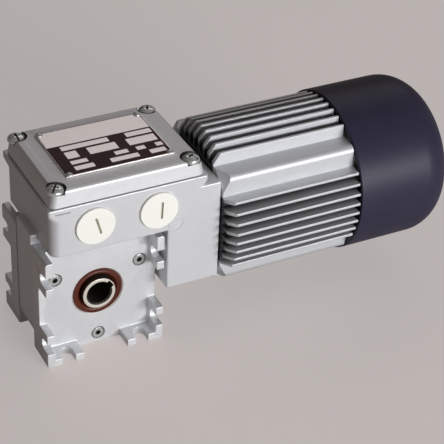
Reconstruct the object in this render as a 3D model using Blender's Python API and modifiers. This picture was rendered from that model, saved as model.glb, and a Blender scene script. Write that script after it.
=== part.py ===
"""Worm gear motor: right-angle gearbox, terminal box and finned motor, as separate pieces.

The output axis is Y through the origin and the motor axis is X, above it. The front is -Y.
All sizes are in metres, written in millimetres times MM.
"""
import math

import bmesh
import bpy
from mathutils import Matrix

MM = 0.001

# Fits
CLEAR = 0.3 * MM                 # gap between neighbouring pieces
PRESS_GAP = 0.25 * MM            # gap between a ring and its seat
CUT_OVER = 1.0 * MM              # how far a cutter runs past the face it cuts

# Gearbox casting
CASE_WALL = 9.48 * MM            # from the wheel's chamber to the casting's flat sides
CASE_CORNER = 17.0 * MM          # rounding of the casting's lower corners
CASE_HALF_WIDTH = 12.0 * MM      # half the casting's depth between the covers
REBATE_WIDTH = 2.1 * MM          # groove round the casting beside the rear cover
REBATE_DEPTH = 2.5 * MM
CASE_EDGE = 0.8 * MM
NECK_BELOW = 25.7 * MM           # rib between gearbox and flange, below the motor axis

# Covers with mounting legs
PLATE_EDGE = 0.8 * MM
PLATE_CORNER = 1.2 * MM
PILOT_LENGTH = 2.0 * MM          # how far a cover reaches into the wheel's chamber
BEARING_BOSS_WALL = 3.2 * MM
LEG_LENGTH = 12.0 * MM
LEG_WALL = 4.8 * MM
LEG_REACH = 22.5 * MM            # how far a leg wall runs from its corner
LEG_SLOT_WIDTH = 7.5 * MM
LEG_SLOT_DEPTH = 9.0 * MM
LEG_SLOT_INSET = 13.25 * MM      # slot centre from the corner
COVER_SCREW_INSET = 6.2 * MM     # screw circle inside the casting's flat sides
COVER_SCREW_ANGLES = (30.0, 150.0, 270.0)
COVER_SCREW_SHANK = 2.0 * MM
COVER_SCREW_HEAD = 3.5 * MM
COVER_SCREW_HEAD_HEIGHT = 4.0 * MM
COVER_SCREW_EDGE = 0.3 * MM
COVER_SCREW_REACH = 7.0 * MM     # thread in the casting
COVER_SCREW_HEX = 3.0 * MM
COVER_SCREW_HEX_DEPTH = 2.0 * MM
COUNTERBORE_RADIUS = 4.2 * MM
COUNTERBORE_DEPTH = 4.3 * MM

# Output shaft, its bearings and seals
OUTPUT_BORE = 7.0 * MM
OUTPUT_WALL = 2.95 * MM
OUTPUT_PROUD = 2.3 * MM          # shaft end beyond the cover's face
OUTPUT_CHAMFER = 0.6 * MM
OUTPUT_EDGE = 0.4 * MM
KEYWAY_WIDTH = 5.0 * MM
KEYWAY_DEPTH = 2.3 * MM
KEYWAY_ANGLE = 35.0
OUTPUT_BEARING_OUTER = 16.0 * MM
OUTPUT_BEARING_WIDTH = 7.0 * MM
RACE_SHARE = 0.26                # share of a bearing's section that each ring fills
BEARING_SHIELD = 0.7 * MM
SEAL_OUTER = 15.0 * MM
SEAL_WIDTH = 6.7 * MM
SEAL_RIM = 2.4 * MM              # flat rim outside the sunken lip
SEAL_EDGE = 0.4 * MM
SEAL_LIP_DEPTH = 2.6 * MM
SEAL_LIP_WIDTH = 0.8 * MM
SEAL_SHOULDER = 0.8 * MM         # lip between bearing and seal pockets
SEAL_SHOULDER_BORE = 13.2 * MM
SEAL_SINK = 0.05 * MM            # seal's face below the cover's face

# Worm and wheel
MODULE = 1.6 * MM
WHEEL_TEETH = 30
WORM_PITCH_RADIUS = 7.0 * MM
PRESSURE_ANGLE = math.radians(20.0)
WHEEL_WIDTH = 10.0 * MM
WHEEL_HUB_WALL = 5.05 * MM
WHEEL_HUB_WIDTH = 13.2 * MM
FLANK_RELIEF = 0.22 * MM         # thinning of each tooth flank, for running clearance
WORM_LENGTH = 28.0 * MM
WORM_TIP_CLEARANCE = 0.4 * MM
WORM_BORE_GAP = 1.15 * MM        # round the worm's tips
WORM_ROOT_SINK = 0.5 * MM        # how deep the thread is rooted in the shaft
CHAMBER_CLEARANCE = 1.0 * MM

# Terminal box and motor flange, cast with the gearbox
BOX_LEFT_INSET = 4.0 * MM        # from the gearbox's left side
BOX_GAP = 3.0 * MM               # above the covers' legs
BOX_END_INSET = 9.9 * MM         # from the flange's face
BOX_SIDE_INSET = 1.3 * MM        # box and flange inside the motor frame's sides
BOX_HEIGHT = 31.1 * MM
BOX_CORNER = 5.5 * MM
BOX_WALL = 3.2 * MM
BOX_FLOOR = 5.0 * MM
BOX_DEEP_WALL = 5.5 * MM         # between terminal chamber and flange cavity
BOX_SHELF_FLOOR = 0.6 * MM       # shelf above the motor flange
RIM_PROUD = 1.5 * MM             # rim under the lid, beyond the box's left, right and rear
RIM_HEIGHT = 3.6 * MM
RIM_TAPER = 4.6 * MM             # height of the slope under the rim
RIM_CORNER = 1.2 * MM
FLANGE_GAP = 1.5 * MM            # between the gearbox's side and the flange
FLANGE_LENGTH = 32.9 * MM
FLANGE_BELOW_CUT = 3.2 * MM      # flange inside the motor frame's lower side
FLANGE_ABOVE_CUT = 2.9 * MM      # flange inside the motor frame's upper side
FLANGE_EDGE = 0.6 * MM
FLANGE_WALL = 6.0 * MM           # between flange cavity and flange sides
FLANGE_CAVITY_DEPTH = 21.5 * MM
BEARING_INSET = 5.5 * MM         # motor bearing inside the flange's face
BOSS_WALL = 3.0 * MM             # round the front motor bearing
CABLE_HOLE_RADIUS = 4.0 * MM
CABLE_HOLE_SINK = 1.1 * MM       # hole inside the middle of the cavity's ring
CABLE_HOLE_ANGLE = 60.0
CAST_MARK_RADIUS = 4.8 * MM
CAST_MARK_INSET = 4.8 * MM       # from the flange's left side
CAST_MARK_RISE = 3.8 * MM        # from the box's underside
CAST_MARK_DEPTH = 0.5 * MM

# Lid, gasket, screws and nameplate
GASKET_THICKNESS = 1.1 * MM
GASKET_INSET = 0.9 * MM
LID_END_INSET = 0.5 * MM         # lid's right side inside the box's
LID_HEIGHT = 9.4 * MM
LID_TOP_WALL = 3.0 * MM
LID_WALL = 3.0 * MM
LID_CORNER = 4.0 * MM
LID_END_DRAFT = 2.0 * MM         # how far the left and right sides lean in
LID_SIDE_DRAFT = 0.6 * MM
LID_EDGE = 0.5 * MM
LID_SCREW_LEFT_INSET = 4.7 * MM
LID_SCREW_RIGHT_INSET = 6.9 * MM
LID_SCREW_SIDE_INSET = 5.2 * MM
LID_SCREW_BOSS = 5.2 * MM
LID_SCREW_SHANK = 2.5 * MM
LID_SCREW_HEAD = 5.0 * MM
LID_SCREW_HEAD_HEIGHT = 3.4 * MM
LID_SCREW_THREAD = 12.0 * MM     # thread in the box
LID_SCREW_SLOT = 1.2 * MM
LID_SCREW_SLOT_DEPTH = 1.3 * MM
LID_SCREW_CROSS = 1.4 * MM
LID_SCREW_CROSS_LENGTH = 4.8 * MM
LID_SCREW_CROSS_DEPTH = 1.7 * MM
LID_POCKET_RADIUS = 6.3 * MM
LID_POCKET_DEPTH = 2.6 * MM
NAMEPLATE_LEFT = 14.2 * MM       # plate's edges from the lid's edges
NAMEPLATE_RIGHT = 13.9 * MM
NAMEPLATE_FRONT = 11.4 * MM
NAMEPLATE_REAR = 9.0 * MM
NAMEPLATE_SHEET = 0.8 * MM
RIVET_END_INSET = 2.0 * MM       # from the plate's left and right edges
RIVET_SIDE_INSET = 1.6 * MM      # from its front and rear edges
RIVET_SHANK = 0.95 * MM
RIVET_HEAD = 2.1 * MM
RIVET_HEAD_HEIGHT = 1.0 * MM
RIVET_REACH = 1.9 * MM

# Cable entry plugs and terminal block
PLUG_HEAD = 12.0 * MM
PLUG_HEAD_HEIGHT = 2.8 * MM
PLUG_EDGE = 0.8 * MM
PLUG_SHANK = 9.9 * MM
PLUG_SHANK_LENGTH = 5.5 * MM
PLUG_SHANK_WALL = 2.0 * MM
PLUG_SPACING = 38.1 * MM
PLUG_SHIFT = 1.7 * MM            # both plugs left of the box's middle
PLUG_RISE = 15.9 * MM            # plugs' axes from the box's underside
PLUG_SLOT_LENGTH = 11.0 * MM
PLUG_SLOT_WIDTH = 1.4 * MM
PLUG_SLOT_DEPTH = 1.0 * MM
PLUG_SLOT_ANGLES = (10.0, -4.0)
BLOCK_LENGTH = 44.0 * MM
BLOCK_WIDTH = 20.0 * MM
BLOCK_HEIGHT = 15.0 * MM
BLOCK_BARRIER = 1.4 * MM
BLOCK_SEAT_SHARE = 0.6           # height of the clamps' seats
BLOCK_WAYS = 6

# Motor frame and stator
FRAME_HALF = 35.5 * MM           # half the side of the square body
FRAME_WALL = 2.5 * MM
FRAME_GAP = 0.5 * MM             # joint between flange and frame
FRAME_CORNER_CUT = 3.0 * MM      # turned off the square's corners
FIN_RISE = 0.9 * MM              # fin tips beyond the turned corners
FINS_PER_SIDE = 8
FIN_PITCH = 6.1 * MM
FIN_TIP_WIDTH = 1.8 * MM
FIN_ROOT_WIDTH = 2.3 * MM
FRAME_CHAMFER_DEPTH = 4.9 * MM
FRAME_CHAMFER_LENGTH = 4.2 * MM
TIE_ROD_WALL = 2.2 * MM          # between the frame's bore and a rod's hole
TIE_ROD_RADIUS = 2.0 * MM
TIE_ROD_THREAD = 10.0 * MM
TIE_ROD_HEX = 7.0 * MM
TIE_ROD_HEAD = 2.8 * MM
STATOR_BORE_RATIO = 0.62         # stator's bore to its outside
STATOR_LENGTH = 50.0 * MM
STATOR_START = 17.5 * MM         # from the frame's flange end
STATOR_BEHIND = 17.5 * MM        # to the frame's fan end
WINDING_STEP = 1.2 * MM          # winding outside the stator's bore
WINDING_GAP = 2.5 * MM           # between winding and frame
WINDING_OVERHANG = 9.5 * MM
WINDING_ROUND = 2.5 * MM

# Rotor and motor shaft
AIR_GAP = 0.5 * MM
ROTOR_RING_STEP = 2.3 * MM       # end rings inside the rotor's outside
ROTOR_RING_LENGTH = 4.0 * MM
SHAFT_ROTOR_RADIUS = 7.5 * MM
SHAFT_BEARING_RADIUS = 6.0 * MM
SHAFT_WORM_RADIUS = 5.2 * MM
SHAFT_NOSE_RADIUS = 3.0 * MM
SHAFT_NOSE_STEP = 1.2 * MM
SHAFT_FAN_RADIUS = 5.0 * MM
SHAFT_TAIL = 2.0 * MM            # shaft beyond the fan's ring
MOTOR_BEARING_OUTER = 14.0 * MM
MOTOR_BEARING_WIDTH = 8.0 * MM
NOSE_BEARING_WIDTH = 6.0 * MM
NOSE_END_WALL = 3.6 * MM         # casting left beyond the worm's blind bore
SHAFT_SEAL_OUTER = 12.0 * MM
SHAFT_SEAL_WIDTH = 6.6 * MM

# Rear end shield, fan and fan cover
SHIELD_INSET = 0.5 * MM          # inside the frame's turned corners
SHIELD_THICKNESS = 4.8 * MM
SHIELD_SPIGOT = 5.0 * MM
SHIELD_SPIGOT_WALL = 3.6 * MM
SHIELD_BOSS_WALL = 4.0 * MM      # round the rear motor bearing
SHIELD_BOSS_EDGE = 1.0 * MM
SHIELD_BACK_WALL = 3.0 * MM
SHIELD_SHAFT_GAP = 1.0 * MM
SPRING_WIDTH = 2.6 * MM
SPRING_SHEET = 0.4 * MM
SPRING_WAVE = 0.35 * MM
SPRING_WAVES = 3
FAN_TIP_GAP = 6.0 * MM           # between fan and hood
FAN_HUB_RADIUS = 9.0 * MM
FAN_LENGTH = 17.0 * MM
FAN_DISC = 2.0 * MM
FAN_BLADES = 9
FAN_BLADE_WIDTH = 1.8 * MM
FAN_START = 5.0 * MM             # behind the end shield's boss
RING_THICKNESS = 1.0 * MM
RING_RADIUS = 7.4 * MM
RING_GROOVE = 0.6 * MM
RING_OPENING = 40.0              # half the ring's gap in degrees
COVER_WALL = 2.35 * MM
COVER_LENGTH = 67.6 * MM
COVER_ROUNDING = 21.3 * MM
COVER_START = 0.5 * MM           # behind the frame's end
COVER_EDGE = 0.6 * MM
GRILLE_INNER = 7.0 * MM
GRILLE_SLOT = 3.6 * MM
GRILLE_RING = 2.8 * MM
GRILLE_ROWS = 3
GRILLE_RIBS = 6
GRILLE_RIB_WIDTH = 2.6 * MM

# Facets round a full circle
FULL_TURN = 360.0
QUARTER_TURN = FULL_TURN / 4
FINE = 36
MEDIUM = 24
SMALL = 16
TINY = 10

# Worked-out places: gearbox
PITCH_RADIUS = MODULE * WHEEL_TEETH / 2
CENTRE_DISTANCE = PITCH_RADIUS + WORM_PITCH_RADIUS
WORM_TIP = WORM_PITCH_RADIUS + MODULE
WORM_ROOT = WORM_PITCH_RADIUS - 1.2 * MODULE
WORM_LEAD = math.pi * MODULE
WORM_BORE = WORM_TIP + WORM_BORE_GAP
WHEEL_TIP = CENTRE_DISTANCE - WORM_ROOT - WORM_TIP_CLEARANCE
CHAMBER_RADIUS = WHEEL_TIP + CHAMBER_CLEARANCE
CASE_HALF = CHAMBER_RADIUS + CASE_WALL
COVER_SCREW_CIRCLE = CASE_HALF - COVER_SCREW_INSET
OUTPUT_RADIUS = OUTPUT_BORE + OUTPUT_WALL
KEYWAY_TOP = OUTPUT_BORE + KEYWAY_DEPTH
WHEEL_HUB_RADIUS = OUTPUT_RADIUS + WHEEL_HUB_WALL
WHEEL_HALF = WHEEL_HUB_WIDTH / 2
BEARING_START = WHEEL_HALF + CLEAR
BEARING_END = BEARING_START + OUTPUT_BEARING_WIDTH
BEARING_POCKET_END = BEARING_END + PRESS_GAP
SEAL_POCKET_START = BEARING_POCKET_END + SEAL_SHOULDER
FACE = SEAL_POCKET_START + CLEAR + SEAL_WIDTH + SEAL_SINK
LEG_END = FACE + LEG_LENGTH
OUTPUT_END = FACE + OUTPUT_PROUD
NOSE_POCKET_END = NOSE_END_WALL - CASE_HALF
NOSE_BEARING_START = NOSE_POCKET_END + CLEAR
NOSE_BEARING_END = NOSE_BEARING_START + NOSE_BEARING_WIDTH
NOSE_BEARING_OUTER = WORM_BORE - PRESS_GAP

# Worked-out places: flange, terminal box and lid
BOX_HALF_DEPTH = FRAME_HALF - BOX_SIDE_INSET
FLANGE_LEFT = CASE_HALF + FLANGE_GAP
FLANGE_RIGHT = FLANGE_LEFT + FLANGE_LENGTH
FLANGE_LOW = CENTRE_DISTANCE - FRAME_HALF + FLANGE_BELOW_CUT
FLANGE_HIGH = CENTRE_DISTANCE + FRAME_HALF - FLANGE_ABOVE_CUT
FLANGE_CAVITY_START = FLANGE_RIGHT - FLANGE_CAVITY_DEPTH
FLANGE_BOSS_RADIUS = MOTOR_BEARING_OUTER + BOSS_WALL
FLANGE_CAVITY_RADIUS = BOX_HALF_DEPTH - FLANGE_WALL
SHAFT_BEARING_END = FLANGE_RIGHT - BEARING_INSET
SHAFT_BEARING_START = SHAFT_BEARING_END - MOTOR_BEARING_WIDTH
SHAFT_SEAL_START = SHAFT_BEARING_START - PRESS_GAP - SHAFT_SEAL_WIDTH - CLEAR
BOX_LEFT = BOX_LEFT_INSET - CASE_HALF
BOX_RIGHT = FLANGE_RIGHT - BOX_END_INSET
BOX_BOTTOM = CASE_HALF + BOX_GAP
BOX_TOP = BOX_BOTTOM + BOX_HEIGHT
BOX_DEEP_END = FLANGE_CAVITY_START - BOX_DEEP_WALL
BOX_SHELF = FLANGE_HIGH + BOX_SHELF_FLOOR
CHAMBER_FLOOR = BOX_BOTTOM + BOX_FLOOR
CAST_MARK_X = FLANGE_LEFT + CAST_MARK_INSET
CAST_MARK_Z = BOX_BOTTOM + CAST_MARK_RISE
PLUG_LEFT_X = (BOX_LEFT + BOX_RIGHT - PLUG_SPACING) / 2 - PLUG_SHIFT
PLUG_Z = BOX_BOTTOM + PLUG_RISE
LID_RIGHT = BOX_RIGHT - LID_END_INSET
LID_BOTTOM = BOX_TOP + GASKET_THICKNESS + 2 * CLEAR
LID_TOP = LID_BOTTOM + LID_HEIGHT
LID_POCKET_FLOOR = LID_TOP - LID_POCKET_DEPTH
LID_SCREWS = [
    (x, side * (BOX_HALF_DEPTH - LID_SCREW_SIDE_INSET))
    for x in (BOX_LEFT + LID_SCREW_LEFT_INSET, LID_RIGHT - LID_SCREW_RIGHT_INSET)
    for side in (-1, 1)
]

# Worked-out places: motor
FRAME_START = FLANGE_RIGHT + FRAME_GAP
FRAME_END = FRAME_START + STATOR_START + STATOR_LENGTH + STATOR_BEHIND
FRAME_BORE = FRAME_HALF - FRAME_WALL
FRAME_CORNER_RADIUS = math.sqrt(2) * FRAME_HALF - FRAME_CORNER_CUT
FIN_TIP_RADIUS = FRAME_CORNER_RADIUS + FIN_RISE
TIE_ROD_OFFSET = (FRAME_BORE + TIE_ROD_WALL + CLEAR + TIE_ROD_RADIUS) / math.sqrt(2)
STATOR_OUTER = FRAME_BORE - CLEAR
STATOR_BORE = STATOR_BORE_RATIO * STATOR_OUTER
STATOR_LOW = FRAME_START + STATOR_START
STATOR_HIGH = STATOR_LOW + STATOR_LENGTH
SHIELD_RADIUS = FRAME_CORNER_RADIUS - SHIELD_INSET
SHIELD_BOSS_RADIUS = MOTOR_BEARING_OUTER + SHIELD_BOSS_WALL
SHIELD_FRONT = FRAME_END + CLEAR
SHIELD_BACK = SHIELD_FRONT + SHIELD_THICKNESS
REAR_BEARING_START = SHIELD_FRONT - SHIELD_SPIGOT + CLEAR
REAR_BEARING_END = REAR_BEARING_START + MOTOR_BEARING_WIDTH
SPRING_ROOM = SPRING_SHEET + 2 * SPRING_WAVE + 2 * CLEAR
REAR_POCKET_END = REAR_BEARING_END + SPRING_ROOM
SHIELD_BOSS_END = REAR_POCKET_END + SHIELD_BACK_WALL
COVER_RADIUS = SHIELD_RADIUS + CLEAR + COVER_WALL
COVER_LOW = FRAME_END + COVER_START
COVER_HIGH = COVER_LOW + COVER_LENGTH
FAN_RADIUS = COVER_RADIUS - COVER_WALL - FAN_TIP_GAP
FAN_LOW = SHIELD_BOSS_END + FAN_START
FAN_HIGH = FAN_LOW + FAN_LENGTH
RING_LOW = FAN_HIGH + CLEAR
SHAFT_END = RING_LOW + RING_THICKNESS + SHAFT_TAIL

# Local Z of a turned or extruded piece, turned to each world axis
AXIS_FRAMES = {
    "X": Matrix(((0, 0, 1, 0), (1, 0, 0, 0), (0, 1, 0, 0), (0, 0, 0, 1))),
    "Y": Matrix(((1, 0, 0, 0), (0, 0, -1, 0), (0, 1, 0, 0), (0, 0, 0, 1))),
    "Z": Matrix.Identity(4),
}
MOTOR_AXIS = (0.0, 0.0, CENTRE_DISTANCE)

COLOURS = {
    "cast_paint": ((0.60, 0.61, 0.63, 1.0), 0.45, 0.3),
    "aluminium": ((0.70, 0.71, 0.72, 1.0), 0.35, 0.9),
    "steel": ((0.62, 0.62, 0.63, 1.0), 0.30, 1.0),
    "zinc": ((0.75, 0.77, 0.80, 1.0), 0.22, 1.0),
    "bronze": ((0.62, 0.42, 0.18, 1.0), 0.35, 1.0),
    "seal_rubber": ((0.10, 0.03, 0.02, 1.0), 0.50, 0.0),
    "gasket_rubber": ((0.05, 0.05, 0.05, 1.0), 0.80, 0.0),
    "white_plastic": ((0.90, 0.90, 0.84, 1.0), 0.40, 0.0),
    "black_plastic": ((0.02, 0.02, 0.03, 1.0), 0.45, 0.0),
    "fan_plastic": ((0.05, 0.05, 0.07, 1.0), 0.40, 0.0),
    "label": ((0.20, 0.12, 0.12, 1.0), 0.35, 0.2),
    "lamination": ((0.25, 0.25, 0.26, 1.0), 0.50, 0.8),
    "copper": ((0.55, 0.22, 0.08, 1.0), 0.40, 0.8),
    "terminal_plastic": ((0.80, 0.80, 0.76, 1.0), 0.50, 0.0),
}

scene_collection = bpy.context.scene.collection
materials = {}


def clear_scene():
    for obj in list(bpy.data.objects):
        bpy.data.objects.remove(obj, do_unlink=True)


def new_collection(name):
    collection = bpy.data.collections.new(name)
    scene_collection.children.link(collection)
    return collection


clear_scene()
parts = new_collection("worm_gear_motor")
cutters = new_collection("cutters")


def material(name):
    if name not in materials:
        colour, roughness, metallic = COLOURS[name]
        finish = bpy.data.materials.new(name)
        finish.use_nodes = True
        shader = finish.node_tree.nodes["Principled BSDF"]
        shader.inputs["Base Color"].default_value = colour
        shader.inputs["Roughness"].default_value = roughness
        shader.inputs["Metallic"].default_value = metallic
        finish.diffuse_color = colour
        materials[name] = finish
    return materials[name]


def place(name, mesh, frame=None):
    obj = bpy.data.objects.new(name, mesh)
    cutters.objects.link(obj)
    if frame is not None:
        obj.matrix_world = frame
    return obj


def finish_part(obj, finish, parent=None, smooth=35.0):
    """Move a finished piece to the parts collection and give it its material."""
    cutters.objects.unlink(obj)
    parts.objects.link(obj)
    obj.data.materials.append(material(finish))
    obj.data.shade_smooth()
    obj.data.set_sharp_from_angle(angle=math.radians(smooth))
    if parent is not None:
        obj.parent = parent
        obj.matrix_parent_inverse = parent.matrix_world.inverted()
    return obj


def mesh_from(bm, name):
    mesh = bpy.data.meshes.new(name)
    bm.to_mesh(mesh)
    bm.free()
    return mesh


def block(name, low, high):
    """Box between two corners."""
    bm = bmesh.new()
    bmesh.ops.create_cube(bm, size=1.0)
    size = [high[i] - low[i] for i in range(3)]
    centre = [(high[i] + low[i]) / 2 for i in range(3)]
    bmesh.ops.scale(bm, vec=size, verts=bm.verts)
    return place(name, mesh_from(bm, name), Matrix.Translation(centre))


def axis_frame(axis, centre, along):
    """Frame whose Z lies along an axis, at a height along it and beside a centre."""
    shift = list(centre)
    shift["XYZ".index(axis)] += along if axis != "Y" else 0.0
    frame = Matrix.Translation(shift) @ AXIS_FRAMES[axis]
    if axis == "Y":
        frame = Matrix.Translation((0, along, 0)) @ frame
    return frame


def rod(name, radius, axis, low, high, centre=(0, 0, 0), segments=SMALL):
    """Cylinder along an axis, from low to high."""
    bm = bmesh.new()
    bmesh.ops.create_cone(
        bm, cap_ends=True, segments=segments, radius1=radius, radius2=radius, depth=high - low
    )
    return place(name, mesh_from(bm, name), axis_frame(axis, centre, (low + high) / 2))


def turned(name, profile, axis, centre=(0, 0, 0), steps=MEDIUM):
    """Screw a profile of (radius, height) points round an axis. Ends on the axis stay open."""
    points = list(profile)
    closed = points[0][0] > 0 or points[-1][0] > 0
    ring = zip(points, points[1:] + points[:1])
    area = sum(a[0] * b[1] - b[0] * a[1] for a, b in ring)
    if area > 0:
        points.reverse()
    sign = -1.0 if axis == "Y" else 1.0
    if sign < 0:
        points = [(r, -h) for r, h in reversed(points)]
    bm = bmesh.new()
    verts = [bm.verts.new((r, 0, h)) for r, h in points]
    pairs = list(zip(verts, verts[1:]))
    if closed:
        pairs.append((verts[-1], verts[0]))
    for first, second in pairs:
        bm.edges.new((first, second))
    obj = place(name, mesh_from(bm, name), axis_frame(axis, centre, 0.0))
    screw = obj.modifiers.new("turn", "SCREW")
    screw.axis = "Z"
    screw.steps = steps
    screw.render_steps = steps
    screw.use_merge_vertices = True
    screw.merge_threshold = 0.000001
    screw.use_smooth_shade = True
    return obj


def prism(name, outline, axis, low, high, centre=(0, 0, 0)):
    """Extrude one outline along an axis. X takes (y, z), Y takes (x, z), Z takes (x, y)."""
    half = (high - low) / 2
    bm = bmesh.new()
    lower = [bm.verts.new((u, v, -half)) for u, v in outline]
    upper = [bm.verts.new((u, v, half)) for u, v in outline]
    count = len(outline)
    for i in range(count):
        j = (i + 1) % count
        bm.faces.new((lower[i], lower[j], upper[j], upper[i]))
    bm.faces.new(list(reversed(lower)))
    bm.faces.new(upper)
    bmesh.ops.recalc_face_normals(bm, faces=bm.faces)
    return place(name, mesh_from(bm, name), axis_frame(axis, centre, (low + high) / 2))


def extruded(name, outlines, axis, low, high, centre=(0, 0, 0)):
    """Extrude several outlines at once, those inside another one as holes."""
    curve = bpy.data.curves.new(name, "CURVE")
    curve.dimensions = "2D"
    curve.fill_mode = "BOTH"
    curve.extrude = (high - low) / 2
    for outline in outlines:
        spline = curve.splines.new("POLY")
        spline.points.add(len(outline) - 1)
        for point, (u, v) in zip(spline.points, outline):
            point.co = (u, v, 0, 1)
        spline.use_cyclic_u = True
    guide = place(name + "_outline", curve, axis_frame(axis, centre, (low + high) / 2))
    bpy.context.view_layer.update()
    evaluated = guide.evaluated_get(bpy.context.evaluated_depsgraph_get())
    mesh = bpy.data.meshes.new_from_object(evaluated)
    bm = bmesh.new()
    bm.from_mesh(mesh)
    bmesh.ops.remove_doubles(bm, verts=bm.verts, dist=0.0000005)
    bm.to_mesh(mesh)
    bm.free()
    frame = guide.matrix_world.copy()
    bpy.data.objects.remove(guide, do_unlink=True)
    mesh.name = name
    return place(name, mesh, frame)


def loft(name, sections, closed=False):
    """Skin equal rings of points. An open loft gets a flat cap at each end."""
    bm = bmesh.new()
    rings = [[bm.verts.new(point) for point in section] for section in sections]
    pairs = list(zip(rings, rings[1:]))
    if closed:
        pairs.append((rings[-1], rings[0]))
    count = len(rings[0])
    for lower, upper in pairs:
        for i in range(count):
            j = (i + 1) % count
            bm.faces.new((lower[i], lower[j], upper[j], upper[i]))
    if not closed:
        bm.faces.new(list(reversed(rings[0])))
        bm.faces.new(rings[-1])
    bmesh.ops.recalc_face_normals(bm, faces=bm.faces)
    return place(name, mesh_from(bm, name))


def combine(target, operation, tools):
    for tool in tools:
        tool.hide_render = True
        tool.display_type = "WIRE"
        step = target.modifiers.new(tool.name, "BOOLEAN")
        step.operation = operation
        step.object = tool
        step.solver = "EXACT"
    return target


def cut(target, *tools):
    return combine(target, "DIFFERENCE", tools)


def join(target, *tools):
    return combine(target, "UNION", tools)


def round_edges(obj, width, segments=2, angle=60.0):
    edge = obj.modifiers.new("edges", "BEVEL")
    edge.width = width
    edge.segments = segments
    edge.limit_method = "ANGLE"
    edge.angle_limit = math.radians(angle)
    return obj


def arc(u, v, radius, start, end, count):
    """Points on an arc, angles in degrees, both ends included."""
    steps = [start + (end - start) * i / count for i in range(count + 1)]
    return [
        (u + radius * math.cos(math.radians(a)), v + radius * math.sin(math.radians(a)))
        for a in steps
    ]


def circle(u, v, radius, count=SMALL):
    return arc(u, v, radius, 0, FULL_TURN, count)[:-1]


def rounded_rectangle(low_u, high_u, low_v, high_v, radius, count=4):
    """Counter-clockwise outline with four rounded corners."""
    return (
        arc(high_u - radius, low_v + radius, radius, -90, 0, count)
        + arc(high_u - radius, high_v - radius, radius, 0, 90, count)
        + arc(low_u + radius, high_v - radius, radius, 90, 180, count)
        + arc(low_u + radius, low_v + radius, radius, 180, 270, count)
    )


def chamber_outline(low_u, high_u, half_v, bosses, boss_radius, count=5):
    """Rectangle whose corners step inwards round the screw bosses, counter-clockwise."""
    outline = []
    corners = ((high_u, -1), (high_u, 1), (low_u, 1), (low_u, -1))
    for u, side in corners:
        v = side * half_v
        near = [b for b in bosses if abs(b[0] - u) < boss_radius and b[1] * side > 0]
        if not near:
            outline.append((u, v))
            continue
        centre_u, centre_v = near[0]
        reach_u = math.sqrt(boss_radius**2 - (v - centre_v) ** 2)
        reach_v = math.sqrt(boss_radius**2 - (u - centre_u) ** 2)
        inward = -1.0 if u == high_u else 1.0
        on_end = (centre_u + inward * reach_u, v)
        on_side = (u, centre_v - side * reach_v)
        angles = []
        for point in (on_end, on_side):
            angle = math.degrees(math.atan2(point[1] - centre_v, point[0] - centre_u))
            angles.append(angle)
        first, last = angles if (inward * side) > 0 else (angles[1], angles[0])
        if last - first > 180:
            last -= 360
        if first - last > 180:
            last += 360
        outline += arc(centre_u, centre_v, boss_radius, first, last, count)
    return outline


def motor_point(radius, angle):
    """(y, z) of a point round the motor axis, the angle from +Y in degrees."""
    turn = math.radians(angle)
    return radius * math.cos(turn), CENTRE_DISTANCE + radius * math.sin(turn)


def cover_screw_places():
    for angle in COVER_SCREW_ANGLES:
        turn = math.radians(angle)
        yield COVER_SCREW_CIRCLE * math.cos(turn), COVER_SCREW_CIRCLE * math.sin(turn)


def tie_rod_places():
    for side_y in (-1, 1):
        for side_z in (-1, 1):
            yield side_y * TIE_ROD_OFFSET, CENTRE_DISTANCE + side_z * TIE_ROD_OFFSET


def span(side, near, far):
    """Ordered Y range for a piece on the front (-1) or rear (+1)."""
    return tuple(sorted((side * near, side * far)))


def case_outline(inset, top):
    """Gearbox outline in (x, z): square above, large rounding at the lower corners."""
    half = CASE_HALF - inset
    radius = CASE_CORNER - inset
    return (
        arc(half - radius, -half + radius, radius, -90, 0, 6)
        + [(half, top), (-half, top)]
        + arc(-half + radius, -half + radius, radius, 180, 270, 6)
    )


def box_sections():
    """Terminal box outlines from the underside up: plain walls, then the rim's slope and rim."""
    sections = []
    rim_low = BOX_TOP - RIM_HEIGHT
    for height, proud, corner in (
        (BOX_BOTTOM, 0.0, BOX_CORNER), (rim_low - RIM_TAPER, 0.0, BOX_CORNER),
        (rim_low, RIM_PROUD, RIM_CORNER), (BOX_TOP, RIM_PROUD, RIM_CORNER),
    ):
        outline = rounded_rectangle(
            BOX_LEFT - proud, BOX_RIGHT + proud, -BOX_HALF_DEPTH, BOX_HALF_DEPTH + proud, corner
        )
        sections.append([(x, y, height) for x, y in outline])
    return sections


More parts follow.
